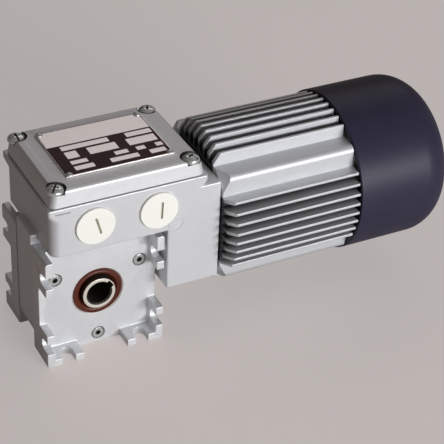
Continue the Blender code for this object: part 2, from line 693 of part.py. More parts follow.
def build_case():
    """Casting that is gearbox housing, terminal box and motor flange in one."""
    overlap = CHAMBER_FLOOR - CUT_OVER
    body_rear = CASE_HALF_WIDTH - REBATE_WIDTH
    case = prism("gear_case", case_outline(0.0, overlap), "Y", -CASE_HALF_WIDTH, body_rear)
    round_edges(case, CASE_EDGE, 1)
    land = prism(
        "case_land", case_outline(REBATE_DEPTH, overlap - CUT_OVER), "Y", 0.0, CASE_HALF_WIDTH
    )
    box = loft("case_box", box_sections())
    round_edges(box, CASE_EDGE, 1)
    flange = block(
        "case_flange",
        (FLANGE_LEFT, -BOX_HALF_DEPTH, FLANGE_LOW), (FLANGE_RIGHT, BOX_HALF_DEPTH, FLANGE_HIGH),
    )
    round_edges(flange, FLANGE_EDGE, 1)
    neck = block(
        "case_neck",
        (
            CASE_HALF - 2 * LEG_WALL, -CASE_HALF_WIDTH + CUT_OVER / 2,
            CENTRE_DISTANCE - NECK_BELOW,
        ),
        (FLANGE_LEFT + LEG_WALL, CASE_HALF_WIDTH - CUT_OVER / 2, overlap - 2 * CUT_OVER),
    )
    join(case, land, box, flange, neck)

    chamber = rod(
        "cut_wheel_chamber", CHAMBER_RADIUS, "Y",
        -CASE_HALF_WIDTH - CUT_OVER, CASE_HALF_WIDTH + CUT_OVER, segments=FINE,
    )
    seal_end = SHAFT_BEARING_START - PRESS_GAP
    stepped = turned(
        "cut_shaft_bores",
        [
            (0, SHAFT_BEARING_END + CUT_OVER),
            (MOTOR_BEARING_OUTER + PRESS_GAP, SHAFT_BEARING_END + CUT_OVER),
            (MOTOR_BEARING_OUTER + PRESS_GAP, seal_end),
            (SHAFT_SEAL_OUTER + PRESS_GAP, seal_end),
            (SHAFT_SEAL_OUTER + PRESS_GAP, SHAFT_SEAL_START - CLEAR),
            (WORM_BORE, SHAFT_SEAL_START - CLEAR),
            (WORM_BORE, NOSE_POCKET_END),
            (0, NOSE_POCKET_END),
        ],
        "X", MOTOR_AXIS,
    )
    cavity = turned(
        "cut_flange_cavity",
        [
            (0, FLANGE_RIGHT + CUT_OVER),
            (FLANGE_CAVITY_RADIUS, FLANGE_RIGHT + CUT_OVER),
            (FLANGE_CAVITY_RADIUS, FLANGE_CAVITY_START),
            (FLANGE_BOSS_RADIUS, FLANGE_CAVITY_START),
            (FLANGE_BOSS_RADIUS, SHAFT_BEARING_END),
            (0, SHAFT_BEARING_END),
        ],
        "X", MOTOR_AXIS, FINE,
    )
    inner_left = BOX_LEFT + BOX_WALL
    inner_right = BOX_RIGHT - BOX_WALL
    inner_depth = BOX_HALF_DEPTH - BOX_WALL
    deep = prism(
        "cut_terminal_chamber",
        chamber_outline(inner_left, BOX_DEEP_END, inner_depth, LID_SCREWS, LID_SCREW_BOSS),
        "Z", CHAMBER_FLOOR, BOX_TOP + CUT_OVER,
    )
    shelf = prism(
        "cut_terminal_shelf",
        chamber_outline(inner_left, inner_right, inner_depth, LID_SCREWS, LID_SCREW_BOSS),
        "Z", BOX_SHELF, BOX_TOP + 2 * CUT_OVER,
    )
    cable_radius = (FLANGE_BOSS_RADIUS + FLANGE_CAVITY_RADIUS) / 2 - CABLE_HOLE_SINK
    cable_y, cable_z = motor_point(cable_radius, CABLE_HOLE_ANGLE)
    cable = rod(
        "cut_cable_hole", CABLE_HOLE_RADIUS, "X", BOX_DEEP_END - CUT_OVER,
        FLANGE_CAVITY_START + CUT_OVER, (0, cable_y, cable_z), TINY,
    )
    cut(case, chamber, stepped, cavity, deep, shelf, cable)

    for number, x in enumerate((PLUG_LEFT_X, PLUG_LEFT_X + PLUG_SPACING), 1):
        hole = rod(
            f"cut_plug_hole_{number}", PLUG_SHANK + CLEAR, "Y", -BOX_HALF_DEPTH - CUT_OVER,
            -inner_depth + CUT_OVER, (x, 0, PLUG_Z), MEDIUM,
        )
        cut(case, hole)
    mark = rod(
        "cut_cast_mark", CAST_MARK_RADIUS, "Y", -BOX_HALF_DEPTH - CUT_OVER,
        -BOX_HALF_DEPTH + CAST_MARK_DEPTH, (CAST_MARK_X, 0, CAST_MARK_Z), SMALL,
    )
    cut(case, mark)
    for number, (x, y) in enumerate(LID_SCREWS, 1):
        hole = rod(
            f"cut_lid_thread_{number}", LID_SCREW_SHANK + CLEAR, "Z",
            BOX_TOP - LID_SCREW_THREAD - CLEAR, BOX_TOP + CUT_OVER, (x, y, 0), TINY,
        )
        cut(case, hole)
    for number, (y, z) in enumerate(tie_rod_places(), 1):
        hole = rod(
            f"cut_tie_thread_{number}", TIE_ROD_RADIUS + CLEAR, "X",
            FLANGE_RIGHT - TIE_ROD_THREAD - CLEAR, FLANGE_RIGHT + CUT_OVER, (0, y, z), TINY,
        )
        cut(case, hole)
    for side in (-1, 1):
        for number, (x, z) in enumerate(cover_screw_places(), 1):
            low, high = span(
                side, CASE_HALF_WIDTH - COVER_SCREW_REACH - CLEAR, CASE_HALF_WIDTH + CUT_OVER
            )
            hole = rod(
                f"cut_cover_thread_{side}_{number}", COVER_SCREW_SHANK + CLEAR, "Y",
                low, high, (x, 0, z), TINY,
            )
            cut(case, hole)
    finish_part(case, "cast_paint")


def leg_gap_outline():
    """Front view of what is taken away to leave the legs: open above, with side windows."""
    far = CASE_HALF + CUT_OVER
    inner = CASE_HALF - LEG_WALL
    end = CASE_HALF - LEG_REACH
    right = [
        (end, -far), (end, -inner), (inner, -inner), (inner, -end), (far, -end), (far, end),
        (inner, end), (inner, far),
    ]
    return right + [(-u, v) for u, v in reversed(right)]


def slot_shape(sign):
    """Rounded slot, open past the legs' ends, as (along the slot's width, y)."""
    half = LEG_SLOT_WIDTH / 2
    bottom = LEG_END - LEG_SLOT_DEPTH + half
    end = LEG_END + CUT_OVER
    shape = [(-half, end)] + arc(0, bottom, half, 180, 360, 6) + [(half, end)]
    return [(u, sign * v) for u, v in shape]


def build_cover(name, side):
    """Cover plate with bearing boss, seal pocket and slotted mounting legs."""
    low, high = span(side, CASE_HALF_WIDTH + CLEAR, LEG_END)
    plate = prism(
        name, rounded_rectangle(-CASE_HALF, CASE_HALF, -CASE_HALF, CASE_HALF, PLATE_CORNER, 2),
        "Y", low, high,
    )
    round_edges(plate, PLATE_EDGE, 1)
    gap_low, gap_high = span(side, FACE, LEG_END + CUT_OVER)
    cut(plate, prism(f"cut_{name}_gap", leg_gap_outline(), "Y", gap_low, gap_high))
    pilot = CHAMBER_RADIUS - CLEAR
    pilot_start = CASE_HALF_WIDTH - PILOT_LENGTH
    boss_radius = OUTPUT_BEARING_OUTER + BEARING_BOSS_WALL
    root = (CASE_HALF_WIDTH + FACE) / 2
    boss = turned(
        f"{name}_boss",
        [
            (0, side * root), (pilot, side * root), (pilot, side * pilot_start),
            (boss_radius, side * pilot_start), (boss_radius, side * BEARING_START),
            (0, side * BEARING_START),
        ],
        "Y", steps=FINE,
    )
    join(plate, boss)
    bore = turned(
        f"cut_{name}_bore",
        [
            (0, side * (BEARING_START - CUT_OVER)),
            (OUTPUT_BEARING_OUTER + PRESS_GAP, side * (BEARING_START - CUT_OVER)),
            (OUTPUT_BEARING_OUTER + PRESS_GAP, side * BEARING_POCKET_END),
            (SEAL_SHOULDER_BORE, side * BEARING_POCKET_END),
            (SEAL_SHOULDER_BORE, side * SEAL_POCKET_START),
            (SEAL_OUTER + PRESS_GAP, side * SEAL_POCKET_START),
            (SEAL_OUTER + PRESS_GAP, side * (FACE + CUT_OVER)),
            (0, side * (FACE + CUT_OVER)),
        ],
        "Y", steps=FINE,
    )
    cut(plate, bore)
    slot_centre = CASE_HALF - LEG_SLOT_INSET
    reach = CASE_HALF + CUT_OVER
    for number, z in enumerate((-slot_centre, slot_centre), 1):
        shape = [(v, u + z) for u, v in slot_shape(side)]
        cut(plate, prism(f"cut_{name}_side_slot_{number}", shape, "X", -reach, reach))
    for number, x in enumerate((-slot_centre, slot_centre), 1):
        shape = [(u + x, v) for u, v in slot_shape(side)]
        low_z = -reach
        high_z = -CASE_HALF + LEG_WALL + CUT_OVER
        cut(plate, prism(f"cut_{name}_foot_slot_{number}", shape, "Z", low_z, high_z))
    for number, (x, z) in enumerate(cover_screw_places(), 1):
        hole_low, hole_high = span(side, CASE_HALF_WIDTH - CUT_OVER, FACE + CUT_OVER)
        hole = rod(
            f"cut_{name}_hole_{number}", COVER_SCREW_SHANK + CLEAR, "Y",
            hole_low, hole_high, (x, 0, z), TINY,
        )
        sink_low, sink_high = span(side, FACE - COUNTERBORE_DEPTH, FACE + 2 * CUT_OVER)
        sink = rod(
            f"cut_{name}_sink_{number}", COUNTERBORE_RADIUS, "Y",
            sink_low, sink_high, (x, 0, z), SMALL,
        )
        cut(plate, hole, sink)
    finish_part(plate, "cast_paint")


def build_cover_screws(prefix, side):
    """Socket head screws that sit sunk in the cover's face."""
    seat = FACE - COUNTERBORE_DEPTH + CLEAR / 2
    top = seat + COVER_SCREW_HEAD_HEIGHT
    end = CASE_HALF_WIDTH - COVER_SCREW_REACH
    edge = COVER_SCREW_EDGE
    for number, (x, z) in enumerate(cover_screw_places(), 1):
        screw = turned(
            f"{prefix}_cover_screw_{number}",
            [
                (0, side * top), (COVER_SCREW_HEAD - edge, side * top),
                (COVER_SCREW_HEAD, side * (top - edge)), (COVER_SCREW_HEAD, side * seat),
                (COVER_SCREW_SHANK, side * seat), (COVER_SCREW_SHANK, side * end), (0, side * end),
            ],
            "Y", (x, 0, z), SMALL,
        )
        socket_low, socket_high = span(side, top - COVER_SCREW_HEX_DEPTH, top + CUT_OVER)
        socket = rod(
            f"cut_{prefix}_socket_{number}", COVER_SCREW_HEX / math.sqrt(3), "Y",
            socket_low, socket_high, (x, 0, z), 6,
        )
        cut(screw, socket)
        finish_part(screw, "zinc")


def build_bearing(prefix, bore, outer, width, axis, start, inner_parent, centre=(0, 0, 0)):
    """Shielded ball bearing: an outer ring with its shields, and an inner ring."""
    wall = (outer - bore) * RACE_SHARE
    shield = BEARING_SHIELD
    inner_edge = bore + wall
    lip = inner_edge + CLEAR
    end = start + width
    outer_ring = turned(
        f"{prefix}_bearing_outer_ring",
        [
            (outer, start), (outer, end), (lip, end), (lip, end - shield),
            (outer - wall, end - shield), (outer - wall, start + shield),
            (lip, start + shield), (lip, start),
        ],
        axis, centre, SMALL,
    )
    finish_part(outer_ring, "steel")
    inner_ring = turned(
        f"{prefix}_bearing_inner_ring",
        [(inner_edge, start), (inner_edge, end), (bore, end), (bore, start)],
        axis, centre, SMALL,
    )
    finish_part(inner_ring, "steel", inner_parent)


def build_output_seal(name, side):
    """Radial shaft seal with its sunken sealing lip."""
    low = SEAL_POCKET_START + CLEAR
    high = low + SEAL_WIDTH
    lip = OUTPUT_RADIUS + CLEAR
    body = SEAL_OUTER - SEAL_RIM
    lip_high = high - SEAL_LIP_DEPTH
    seal = turned(
        name,
        [
            (SEAL_OUTER, side * (high - SEAL_EDGE)), (SEAL_OUTER - SEAL_EDGE, side * high),
            (body, side * high), (lip, side * lip_high), (lip, side * (lip_high - SEAL_LIP_WIDTH)),
            (body, side * low), (SEAL_OUTER, side * low),
        ],
        "Y", steps=MEDIUM,
    )
    finish_part(seal, "seal_rubber")


def build_hollow_shaft(parent):
    """Output shaft with a through bore and a keyway for the driven machine's shaft."""
    end = OUTPUT_END
    mouth = OUTPUT_BORE + OUTPUT_CHAMFER
    edge = OUTPUT_EDGE
    shaft = turned(
        "hollow_output_shaft",
        [
            (OUTPUT_RADIUS, -end + edge), (OUTPUT_RADIUS, end - edge), (OUTPUT_RADIUS - edge, end),
            (mouth, end), (OUTPUT_BORE, end - OUTPUT_CHAMFER), (OUTPUT_BORE, -end + OUTPUT_CHAMFER),
            (mouth, -end), (OUTPUT_RADIUS - edge, -end),
        ],
        "Y", steps=FINE,
    )
    half = KEYWAY_WIDTH / 2
    keyway = block(
        "cut_keyway", (OUTPUT_BORE / 2, -end - CUT_OVER, -half), (KEYWAY_TOP, end + CUT_OVER, half)
    )
    keyway.matrix_world = Matrix.Rotation(-math.radians(KEYWAY_ANGLE), 4, "Y") @ keyway.matrix_world
    cut(shaft, keyway)
    finish_part(shaft, "steel", parent)


def involute(angle):
    return math.tan(angle) - angle


def tooth_half_angle(radius):
    """Half the angle that a wheel tooth fills at a radius, thinned for clearance."""
    base = PITCH_RADIUS * math.cos(PRESSURE_ANGLE)
    at_radius = math.acos(base / max(radius, base))
    nominal = math.pi / (2 * WHEEL_TEETH) + involute(PRESSURE_ANGLE) - involute(at_radius)
    return nominal - FLANK_RELIEF / PITCH_RADIUS


def wheel_section(y):
    """Toothed outline at one depth, shifted sideways as the worm's thread climbs."""
    root = CENTRE_DISTANCE - WORM_TIP - WORM_TIP_CLEARANCE
    shift = WORM_LEAD / (2 * math.pi) * math.atan(y / WORM_PITCH_RADIUS) / PITCH_RADIUS
    radii = [root + (WHEEL_TIP - root) * f for f in (0.0, 0.5, 1.0)]
    points = []
    for tooth in range(WHEEL_TEETH):
        middle = math.pi / 2 - shift + (tooth + 0.5) * 2 * math.pi / WHEEL_TEETH
        flank = [(r, tooth_half_angle(r)) for r in radii]
        for radius, half in flank:
            points.append((radius * math.cos(middle - half), y, radius * math.sin(middle - half)))
        for radius, half in reversed(flank):
            points.append((radius * math.cos(middle + half), y, radius * math.sin(middle + half)))
    return points


def build_worm_wheel(parent):
    half = WHEEL_WIDTH / 2
    depths = (-half, 0.0, half)
    wheel = loft("worm_wheel", [wheel_section(y) for y in depths])
    hub = rod("wheel_hub", WHEEL_HUB_RADIUS, "Y", -WHEEL_HALF, WHEEL_HALF, segments=MEDIUM)
    bore = rod(
        "cut_wheel_bore", OUTPUT_RADIUS + PRESS_GAP, "Y",
        -WHEEL_HALF - CUT_OVER, WHEEL_HALF + CUT_OVER, segments=MEDIUM,
    )
    join(wheel, hub)
    cut(wheel, bore)
    finish_part(wheel, "bronze", parent)


def thread_section(turn, height):
    """Thread profile in the plane through the motor axis, at a turn round it."""
    x = WORM_LEAD * turn / (2 * math.pi)
    inside = WORM_ROOT - WORM_ROOT_SINK
    tip = WORM_ROOT + (WORM_TIP - WORM_ROOT) * height
    half_pitch = WORM_LEAD / 4 - FLANK_RELIEF
    points = []
    for radius, side in ((inside, -1), (tip, -1), (tip, 1), (inside, 1)):
        half = half_pitch - (radius - WORM_PITCH_RADIUS) * math.tan(PRESSURE_ANGLE)
        down = turn - math.pi / 2
        y = radius * math.cos(down)
        z = CENTRE_DISTANCE + radius * math.sin(down)
        points.append((x + side * half, y, z))
    return points


def build_motor_shaft(parent):
    """One shaft carries worm, rotor and fan, from the nose bearing to the fan's ring."""
    worm_end = WORM_LENGTH / 2 + WORM_LEAD / 2
    bearing = SHAFT_BEARING_RADIUS
    groove = SHAFT_FAN_RADIUS - RING_GROOVE
    nose_step = SHAFT_NOSE_RADIUS + SHAFT_NOSE_STEP
    shaft = turned(
        "motor_shaft",
        [
            (0, SHAFT_END), (SHAFT_FAN_RADIUS, SHAFT_END),
            (SHAFT_FAN_RADIUS, RING_LOW + RING_THICKNESS + CLEAR),
            (groove, RING_LOW + RING_THICKNESS + CLEAR), (groove, RING_LOW - CLEAR),
            (SHAFT_FAN_RADIUS, RING_LOW - CLEAR),
            (SHAFT_FAN_RADIUS, REAR_BEARING_END + CLEAR), (bearing, REAR_BEARING_END + CLEAR),
            (bearing, REAR_BEARING_START - CLEAR), (SHAFT_ROTOR_RADIUS, REAR_BEARING_START - CLEAR),
            (SHAFT_ROTOR_RADIUS, SHAFT_BEARING_END + CLEAR), (bearing, SHAFT_BEARING_END + CLEAR),
            (bearing, SHAFT_SEAL_START - CLEAR), (SHAFT_WORM_RADIUS, SHAFT_SEAL_START - 2 * CLEAR),
            (SHAFT_WORM_RADIUS, worm_end), (WORM_ROOT, worm_end), (WORM_ROOT, -worm_end),
            (nose_step, -worm_end),
            (nose_step, NOSE_BEARING_END + CLEAR),
            (SHAFT_NOSE_RADIUS, NOSE_BEARING_END + CLEAR), (SHAFT_NOSE_RADIUS, NOSE_BEARING_START),
            (0, NOSE_BEARING_START),
        ],
        "X", MOTOR_AXIS, SMALL,
    )
    half_turns = WORM_LENGTH / 2 / WORM_LEAD * 2 * math.pi
    per_turn = 12
    count = round(2 * half_turns / (2 * math.pi) * per_turn)
    run_out = per_turn / 2
    sections = []
    for i in range(count + 1):
        turn = -half_turns + 2 * half_turns * i / count
        height = min(1.0, (min(i, count - i) + 0.2) / run_out)
        sections.append(thread_section(turn, height))
    thread = loft("worm_thread", sections)
    join(shaft, thread)
    finish_part(shaft, "steel", parent)


def build_shaft_seal():
    start = SHAFT_SEAL_START
    end = start + SHAFT_SEAL_WIDTH
    lip = SHAFT_BEARING_RADIUS + CLEAR
    seal = turned(
        "motor_shaft_seal",
        [
            (SHAFT_SEAL_OUTER, start), (SHAFT_SEAL_OUTER, end), (lip + SEAL_RIM, end),
            (lip, end - 2 * SEAL_LIP_WIDTH), (lip, end - 3 * SEAL_LIP_WIDTH),
            (lip + SEAL_RIM, start),
        ],
        "X", MOTOR_AXIS, MEDIUM,
    )
    finish_part(seal, "seal_rubber")


def build_terminal_box():
    """Gasket, drafted lid with screw pockets, lid screws, nameplate and its rivets."""
    low, high = BOX_TOP + CLEAR, BOX_TOP + CLEAR + GASKET_THICKNESS
    depth = BOX_HALF_DEPTH
    inset = GASKET_INSET
    inner = chamber_outline(
        BOX_LEFT + LID_WALL, LID_RIGHT - LID_WALL, depth - LID_WALL, LID_SCREWS, LID_SCREW_BOSS
    )
    holes = [circle(x, y, LID_SCREW_SHANK + CLEAR, TINY) for x, y in LID_SCREWS]
    outer = rounded_rectangle(
        BOX_LEFT + inset, LID_RIGHT - inset, -depth + inset, depth - inset, LID_CORNER - inset
    )
    gasket = extruded("lid_gasket", [outer, inner] + holes, "Z", low, high)
    finish_part(gasket, "gasket_rubber")

    base = rounded_rectangle(BOX_LEFT, LID_RIGHT, -depth, depth, LID_CORNER)
    top = rounded_rectangle(
        BOX_LEFT + LID_END_DRAFT, LID_RIGHT - LID_END_DRAFT,
        -depth + LID_SIDE_DRAFT, depth - LID_SIDE_DRAFT, LID_CORNER - LID_SIDE_DRAFT,
    )
    lid = loft(
        "terminal_box_lid",
        [[(x, y, LID_BOTTOM) for x, y in base], [(x, y, LID_TOP) for x, y in top]],
    )
    round_edges(lid, LID_EDGE, 1)
    hollow = prism("cut_lid_hollow", inner, "Z", LID_BOTTOM - CUT_OVER, LID_TOP - LID_TOP_WALL)
    cut(lid, hollow)
    for number, (x, y) in enumerate(LID_SCREWS, 1):
        pocket = rod(
            f"cut_lid_pocket_{number}", LID_POCKET_RADIUS, "Z",
            LID_POCKET_FLOOR, LID_TOP + CUT_OVER, (x, y, 0), SMALL,
        )
        hole = rod(
            f"cut_lid_hole_{number}", LID_SCREW_SHANK + CLEAR, "Z",
            LID_BOTTOM - CUT_OVER, LID_TOP, (x, y, 0), TINY,
        )
        cut(lid, pocket, hole)
    plate_low = (BOX_LEFT + NAMEPLATE_LEFT, -depth + NAMEPLATE_FRONT, LID_TOP + CLEAR / 2)
    plate_high = (LID_RIGHT - NAMEPLATE_RIGHT, depth - NAMEPLATE_REAR, plate_low[2] + NAMEPLATE_SHEET)
    rivets = [
        (x, y)
        for x in (plate_low[0] + RIVET_END_INSET, plate_high[0] - RIVET_END_INSET)
        for y in (plate_low[1] + RIVET_SIDE_INSET, plate_high[1] - RIVET_SIDE_INSET)
    ]
    plate = block("nameplate", plate_low, plate_high)
    for number, (x, y) in enumerate(rivets, 1):
        hole = rod(
            f"cut_rivet_hole_{number}", RIVET_SHANK + CLEAR, "Z",
            LID_TOP - RIVET_REACH - CLEAR, LID_TOP + CUT_OVER, (x, y, 0), TINY,
        )
        cut(lid, hole)
        plate_hole = rod(
            f"cut_plate_hole_{number}", RIVET_SHANK + CLEAR, "Z",
            plate_low[2] - CUT_OVER, plate_high[2] + CUT_OVER, (x, y, 0), TINY,
        )
        cut(plate, plate_hole)
    finish_part(lid, "cast_paint")
    finish_part(plate, "label")
    build_lid_screws()
    build_rivets(rivets, plate_high[2] + CLEAR / 2)


def build_rivets(places, seat):
    """Domed rivets through the nameplate into the lid."""
    end = LID_TOP - RIVET_REACH
    dome = [
        (RIVET_HEAD * math.cos(math.radians(a)), seat + RIVET_HEAD_HEIGHT * math.sin(math.radians(a)))
        for a in (90, 45, 0)
    ]
    for number, (x, y) in enumerate(places, 1):
        rivet = turned(
            f"nameplate_rivet_{number}",
            dome + [(RIVET_SHANK, seat), (RIVET_SHANK, end), (0, end)],
            "Z", (x, y, 0), TINY,
        )
        finish_part(rivet, "zinc")


def build_lid_screws():
    """Pan head screws with a slot and a cross in one head."""
    seat = LID_POCKET_FLOOR + CLEAR / 2
    top = seat + LID_SCREW_HEAD_HEIGHT
    low = BOX_TOP - LID_SCREW_THREAD
    rim = LID_SCREW_HEAD
    crown = [
        (rim * radius_share, seat + LID_SCREW_HEAD_HEIGHT * height_share)
        for radius_share, height_share in ((0.0, 1.0), (0.55, 0.95), (0.86, 0.76), (1.0, 0.44))
    ]
    for number, (x, y) in enumerate(LID_SCREWS, 1):
        screw = turned(
            f"lid_screw_{number}",
            crown + [(rim, seat), (LID_SCREW_SHANK, seat), (LID_SCREW_SHANK, low), (0, low)],
            "Z", (x, y, 0), SMALL,
        )
        slot = block(
            f"cut_lid_slot_{number}",
            (x - rim - CUT_OVER, y - LID_SCREW_SLOT / 2, top - LID_SCREW_SLOT_DEPTH),
            (x + rim + CUT_OVER, y + LID_SCREW_SLOT / 2, top + CUT_OVER),
        )
        half_width, half_length = LID_SCREW_CROSS / 2, LID_SCREW_CROSS_LENGTH / 2
        cross = block(
            f"cut_lid_cross_{number}",
            (x - half_width, y - half_length, top - LID_SCREW_CROSS_DEPTH),
            (x + half_width, y + half_length, top + CUT_OVER),
        )
        turn = Matrix.Translation((x, y, 0)) @ Matrix.Rotation(math.radians(20 + 35 * number), 4, "Z")
        turn = turn @ Matrix.Translation((-x, -y, 0))
        slot.matrix_world = turn @ slot.matrix_world
        cross.matrix_world = turn @ cross.matrix_world
        cut(screw, slot, cross)
        finish_part(screw, "zinc")


def build_plugs():
    """Screwed blanking plugs in the two cable entries."""
    face = -BOX_HALF_DEPTH - CLEAR
    front = face - PLUG_HEAD_HEIGHT
    end = face + PLUG_SHANK_LENGTH
    edge = PLUG_EDGE
    inner = PLUG_SHANK - PLUG_SHANK_WALL
    names = ("left_cable_plug", "right_cable_plug")
    for number, name in enumerate(names):
        x = PLUG_LEFT_X + number * PLUG_SPACING
        plug = turned(
            name,
            [
                (0, front), (PLUG_HEAD - edge, front), (PLUG_HEAD - edge / 3, front + edge / 2),
                (PLUG_HEAD, front + edge), (PLUG_HEAD, face), (PLUG_SHANK, face), (PLUG_SHANK, end),
                (inner, end), (inner, face), (0, face),
            ],
            "Y", (x, 0, PLUG_Z), MEDIUM,
        )
        slot = block(
            f"cut_plug_slot_{number}",
            (-PLUG_SLOT_WIDTH / 2, front - CUT_OVER, -PLUG_SLOT_LENGTH / 2),
            (PLUG_SLOT_WIDTH / 2, front + PLUG_SLOT_DEPTH, PLUG_SLOT_LENGTH / 2),
        )
        turn = Matrix.Rotation(math.radians(PLUG_SLOT_ANGLES[number]), 4, "Y")
        slot.matrix_world = Matrix.Translation((x, 0, PLUG_Z)) @ turn @ slot.matrix_world
        cut(plug, slot)
        finish_part(plug, "white_plastic")


def build_terminal_block():
    """Barrier strip on the floor of the terminal chamber."""
    low = CHAMBER_FLOOR + CLEAR
    half = BLOCK_LENGTH / 2
    centre = (BOX_LEFT + BOX_DEEP_END) / 2
    way = BLOCK_LENGTH / BLOCK_WAYS
    barrier = BLOCK_BARRIER
    seat = low + BLOCK_HEIGHT * BLOCK_SEAT_SHARE
    outline = [(centre - half, low), (centre + half, low)]
    for step in range(BLOCK_WAYS, 0, -1):
        right = centre - half + step * way
        left = right - way
        outline += [(right, low + BLOCK_HEIGHT), (right - barrier, low + BLOCK_HEIGHT)]
        outline += [(right - barrier, seat), (left + barrier / 2, seat)]
        outline += [(left + barrier / 2, low + BLOCK_HEIGHT)]
    outline += [(centre - half, low + BLOCK_HEIGHT)]
    strip = prism("terminal_block", outline, "Y", -BLOCK_WIDTH / 2, BLOCK_WIDTH / 2)
    finish_part(strip, "terminal_plastic")


def fin_points(side_turn):
    """Fins of one side, as (y, z) from the motor axis, going counter-clockwise."""
    points = []
    for number in range(FINS_PER_SIDE):
        offset = (number - (FINS_PER_SIDE - 1) / 2) * FIN_PITCH
        tip = math.sqrt(FIN_TIP_RADIUS**2 - offset**2)
        points += [
            (FRAME_HALF, offset - FIN_ROOT_WIDTH / 2), (tip, offset - FIN_TIP_WIDTH / 2),
            (tip, offset + FIN_TIP_WIDTH / 2), (FRAME_HALF, offset + FIN_ROOT_WIDTH / 2),
        ]
    edge = math.degrees(math.acos(FRAME_HALF / FRAME_CORNER_RADIUS))
    points += arc(0, 0, FRAME_CORNER_RADIUS, edge, QUARTER_TURN - edge, 3)
    turn = math.radians(side_turn)
    return [
        (u * math.cos(turn) - v * math.sin(turn), u * math.sin(turn) + v * math.cos(turn))
        for u, v in points
    ]


def build_motor_frame():
    """Finned extrusion with turned corners, and a cone turned at its flange end."""
    outline = []
    for side_turn in (0, 90, 180, 270):
        outline += fin_points(side_turn)
    frame = prism("motor_frame", outline, "X", FRAME_START, FRAME_END, MOTOR_AXIS)
    slope = FRAME_CHAMFER_DEPTH / FRAME_CHAMFER_LENGTH
    small = FIN_TIP_RADIUS - FRAME_CHAMFER_DEPTH
    wide = FIN_TIP_RADIUS + CUT_OVER
    envelope = turned(
        "frame_envelope",
        [
            (0, FRAME_END + CUT_OVER), (wide, FRAME_END + CUT_OVER),
            (wide, FRAME_START + FRAME_CHAMFER_LENGTH + CUT_OVER / slope),
            (small - CUT_OVER * slope, FRAME_START - CUT_OVER), (0, FRAME_START - CUT_OVER),
        ],
        "X", MOTOR_AXIS, 72,
    )
    combine(frame, "INTERSECT", [envelope])
    over = (FRAME_START - CUT_OVER, FRAME_END + CUT_OVER)
    cut(frame, rod("cut_frame_bore", FRAME_BORE, "X", *over, MOTOR_AXIS, FINE))
    for number, (y, z) in enumerate(tie_rod_places(), 1):
        hole = rod(f"cut_rod_hole_{number}", TIE_ROD_RADIUS + CLEAR, "X", *over, (0, y, z), TINY)
        cut(frame, hole)
    finish_part(frame, "aluminium")


def build_stator():
    outer = STATOR_OUTER
    core = turned(
        "stator_core",
        [
            (outer, STATOR_LOW), (outer, STATOR_HIGH),
            (STATOR_BORE, STATOR_HIGH), (STATOR_BORE, STATOR_LOW),
        ],
        "X", MOTOR_AXIS, MEDIUM,
    )
    finish_part(core, "lamination")
    round_over = WINDING_ROUND
    winding_outer = FRAME_BORE - WINDING_GAP
    winding_inner = STATOR_BORE + WINDING_STEP
    for name, base, away in (
        ("front_winding", STATOR_LOW - CLEAR, -1), ("rear_winding", STATOR_HIGH + CLEAR, 1)
    ):
        end = base + away * WINDING_OVERHANG
        winding = turned(
            name,
            [
                (winding_outer, base), (winding_outer, end - away * round_over),
                (winding_outer - round_over, end), (winding_inner + round_over, end),
                (winding_inner, end - away * round_over), (winding_inner, base),
            ],
            "X", MOTOR_AXIS, MEDIUM,
        )
        finish_part(winding, "copper")


def build_rotor(parent):
    outer = STATOR_BORE - AIR_GAP
    bore = SHAFT_ROTOR_RADIUS + PRESS_GAP
    ring = ROTOR_RING_LENGTH
    ring_outer = outer - ROTOR_RING_STEP
    rotor = turned(
        "rotor",
        [
            (bore, STATOR_LOW - ring), (ring_outer, STATOR_LOW - ring),
            (ring_outer, STATOR_LOW), (outer, STATOR_LOW), (outer, STATOR_HIGH),
            (ring_outer, STATOR_HIGH), (ring_outer, STATOR_HIGH + ring),
            (bore, STATOR_HIGH + ring),
        ],
        "X", MOTOR_AXIS, MEDIUM,
    )
    finish_part(rotor, "lamination", parent)


def build_end_shield():
    """Rear end shield: bearing seat, spigot, and flat sides that let the fan's air past."""
    spigot = FRAME_BORE - CLEAR
    spigot_inner = spigot - SHIELD_SPIGOT_WALL
    spigot_low = SHIELD_FRONT - SHIELD_SPIGOT
    boss_end_radius = SHIELD_BOSS_RADIUS - SHIELD_BOSS_EDGE
    shaft_hole = SHAFT_FAN_RADIUS + SHIELD_SHAFT_GAP
    shield = turned(
        "rear_end_shield",
        [
            (SHIELD_RADIUS, SHIELD_FRONT), (SHIELD_RADIUS, SHIELD_BACK),
            (SHIELD_BOSS_RADIUS, SHIELD_BACK), (boss_end_radius, SHIELD_BOSS_END),
            (shaft_hole, SHIELD_BOSS_END), (shaft_hole, REAR_POCKET_END),
            (MOTOR_BEARING_OUTER + PRESS_GAP, REAR_POCKET_END),
            (MOTOR_BEARING_OUTER + PRESS_GAP, spigot_low), (SHIELD_BOSS_RADIUS, spigot_low),
            (SHIELD_BOSS_RADIUS, SHIELD_FRONT), (spigot_inner, SHIELD_FRONT),
            (spigot_inner, spigot_low), (spigot, spigot_low), (spigot, SHIELD_FRONT),
        ],
        "X", MOTOR_AXIS, MEDIUM,
    )
    square = block(
        "shield_square",
        (spigot_low - CUT_OVER, -FRAME_HALF, CENTRE_DISTANCE - FRAME_HALF),
        (SHIELD_BOSS_END + CUT_OVER, FRAME_HALF, CENTRE_DISTANCE + FRAME_HALF),
    )
    combine(shield, "INTERSECT", [square])
    for number, (y, z) in enumerate(tie_rod_places(), 1):
        hole = rod(
            f"cut_shield_hole_{number}", TIE_ROD_RADIUS + CLEAR, "X",
            SHIELD_FRONT - CUT_OVER, SHIELD_BACK + CUT_OVER, (0, y, z), TINY,
        )
        cut(shield, hole)
    finish_part(shield, "aluminium")


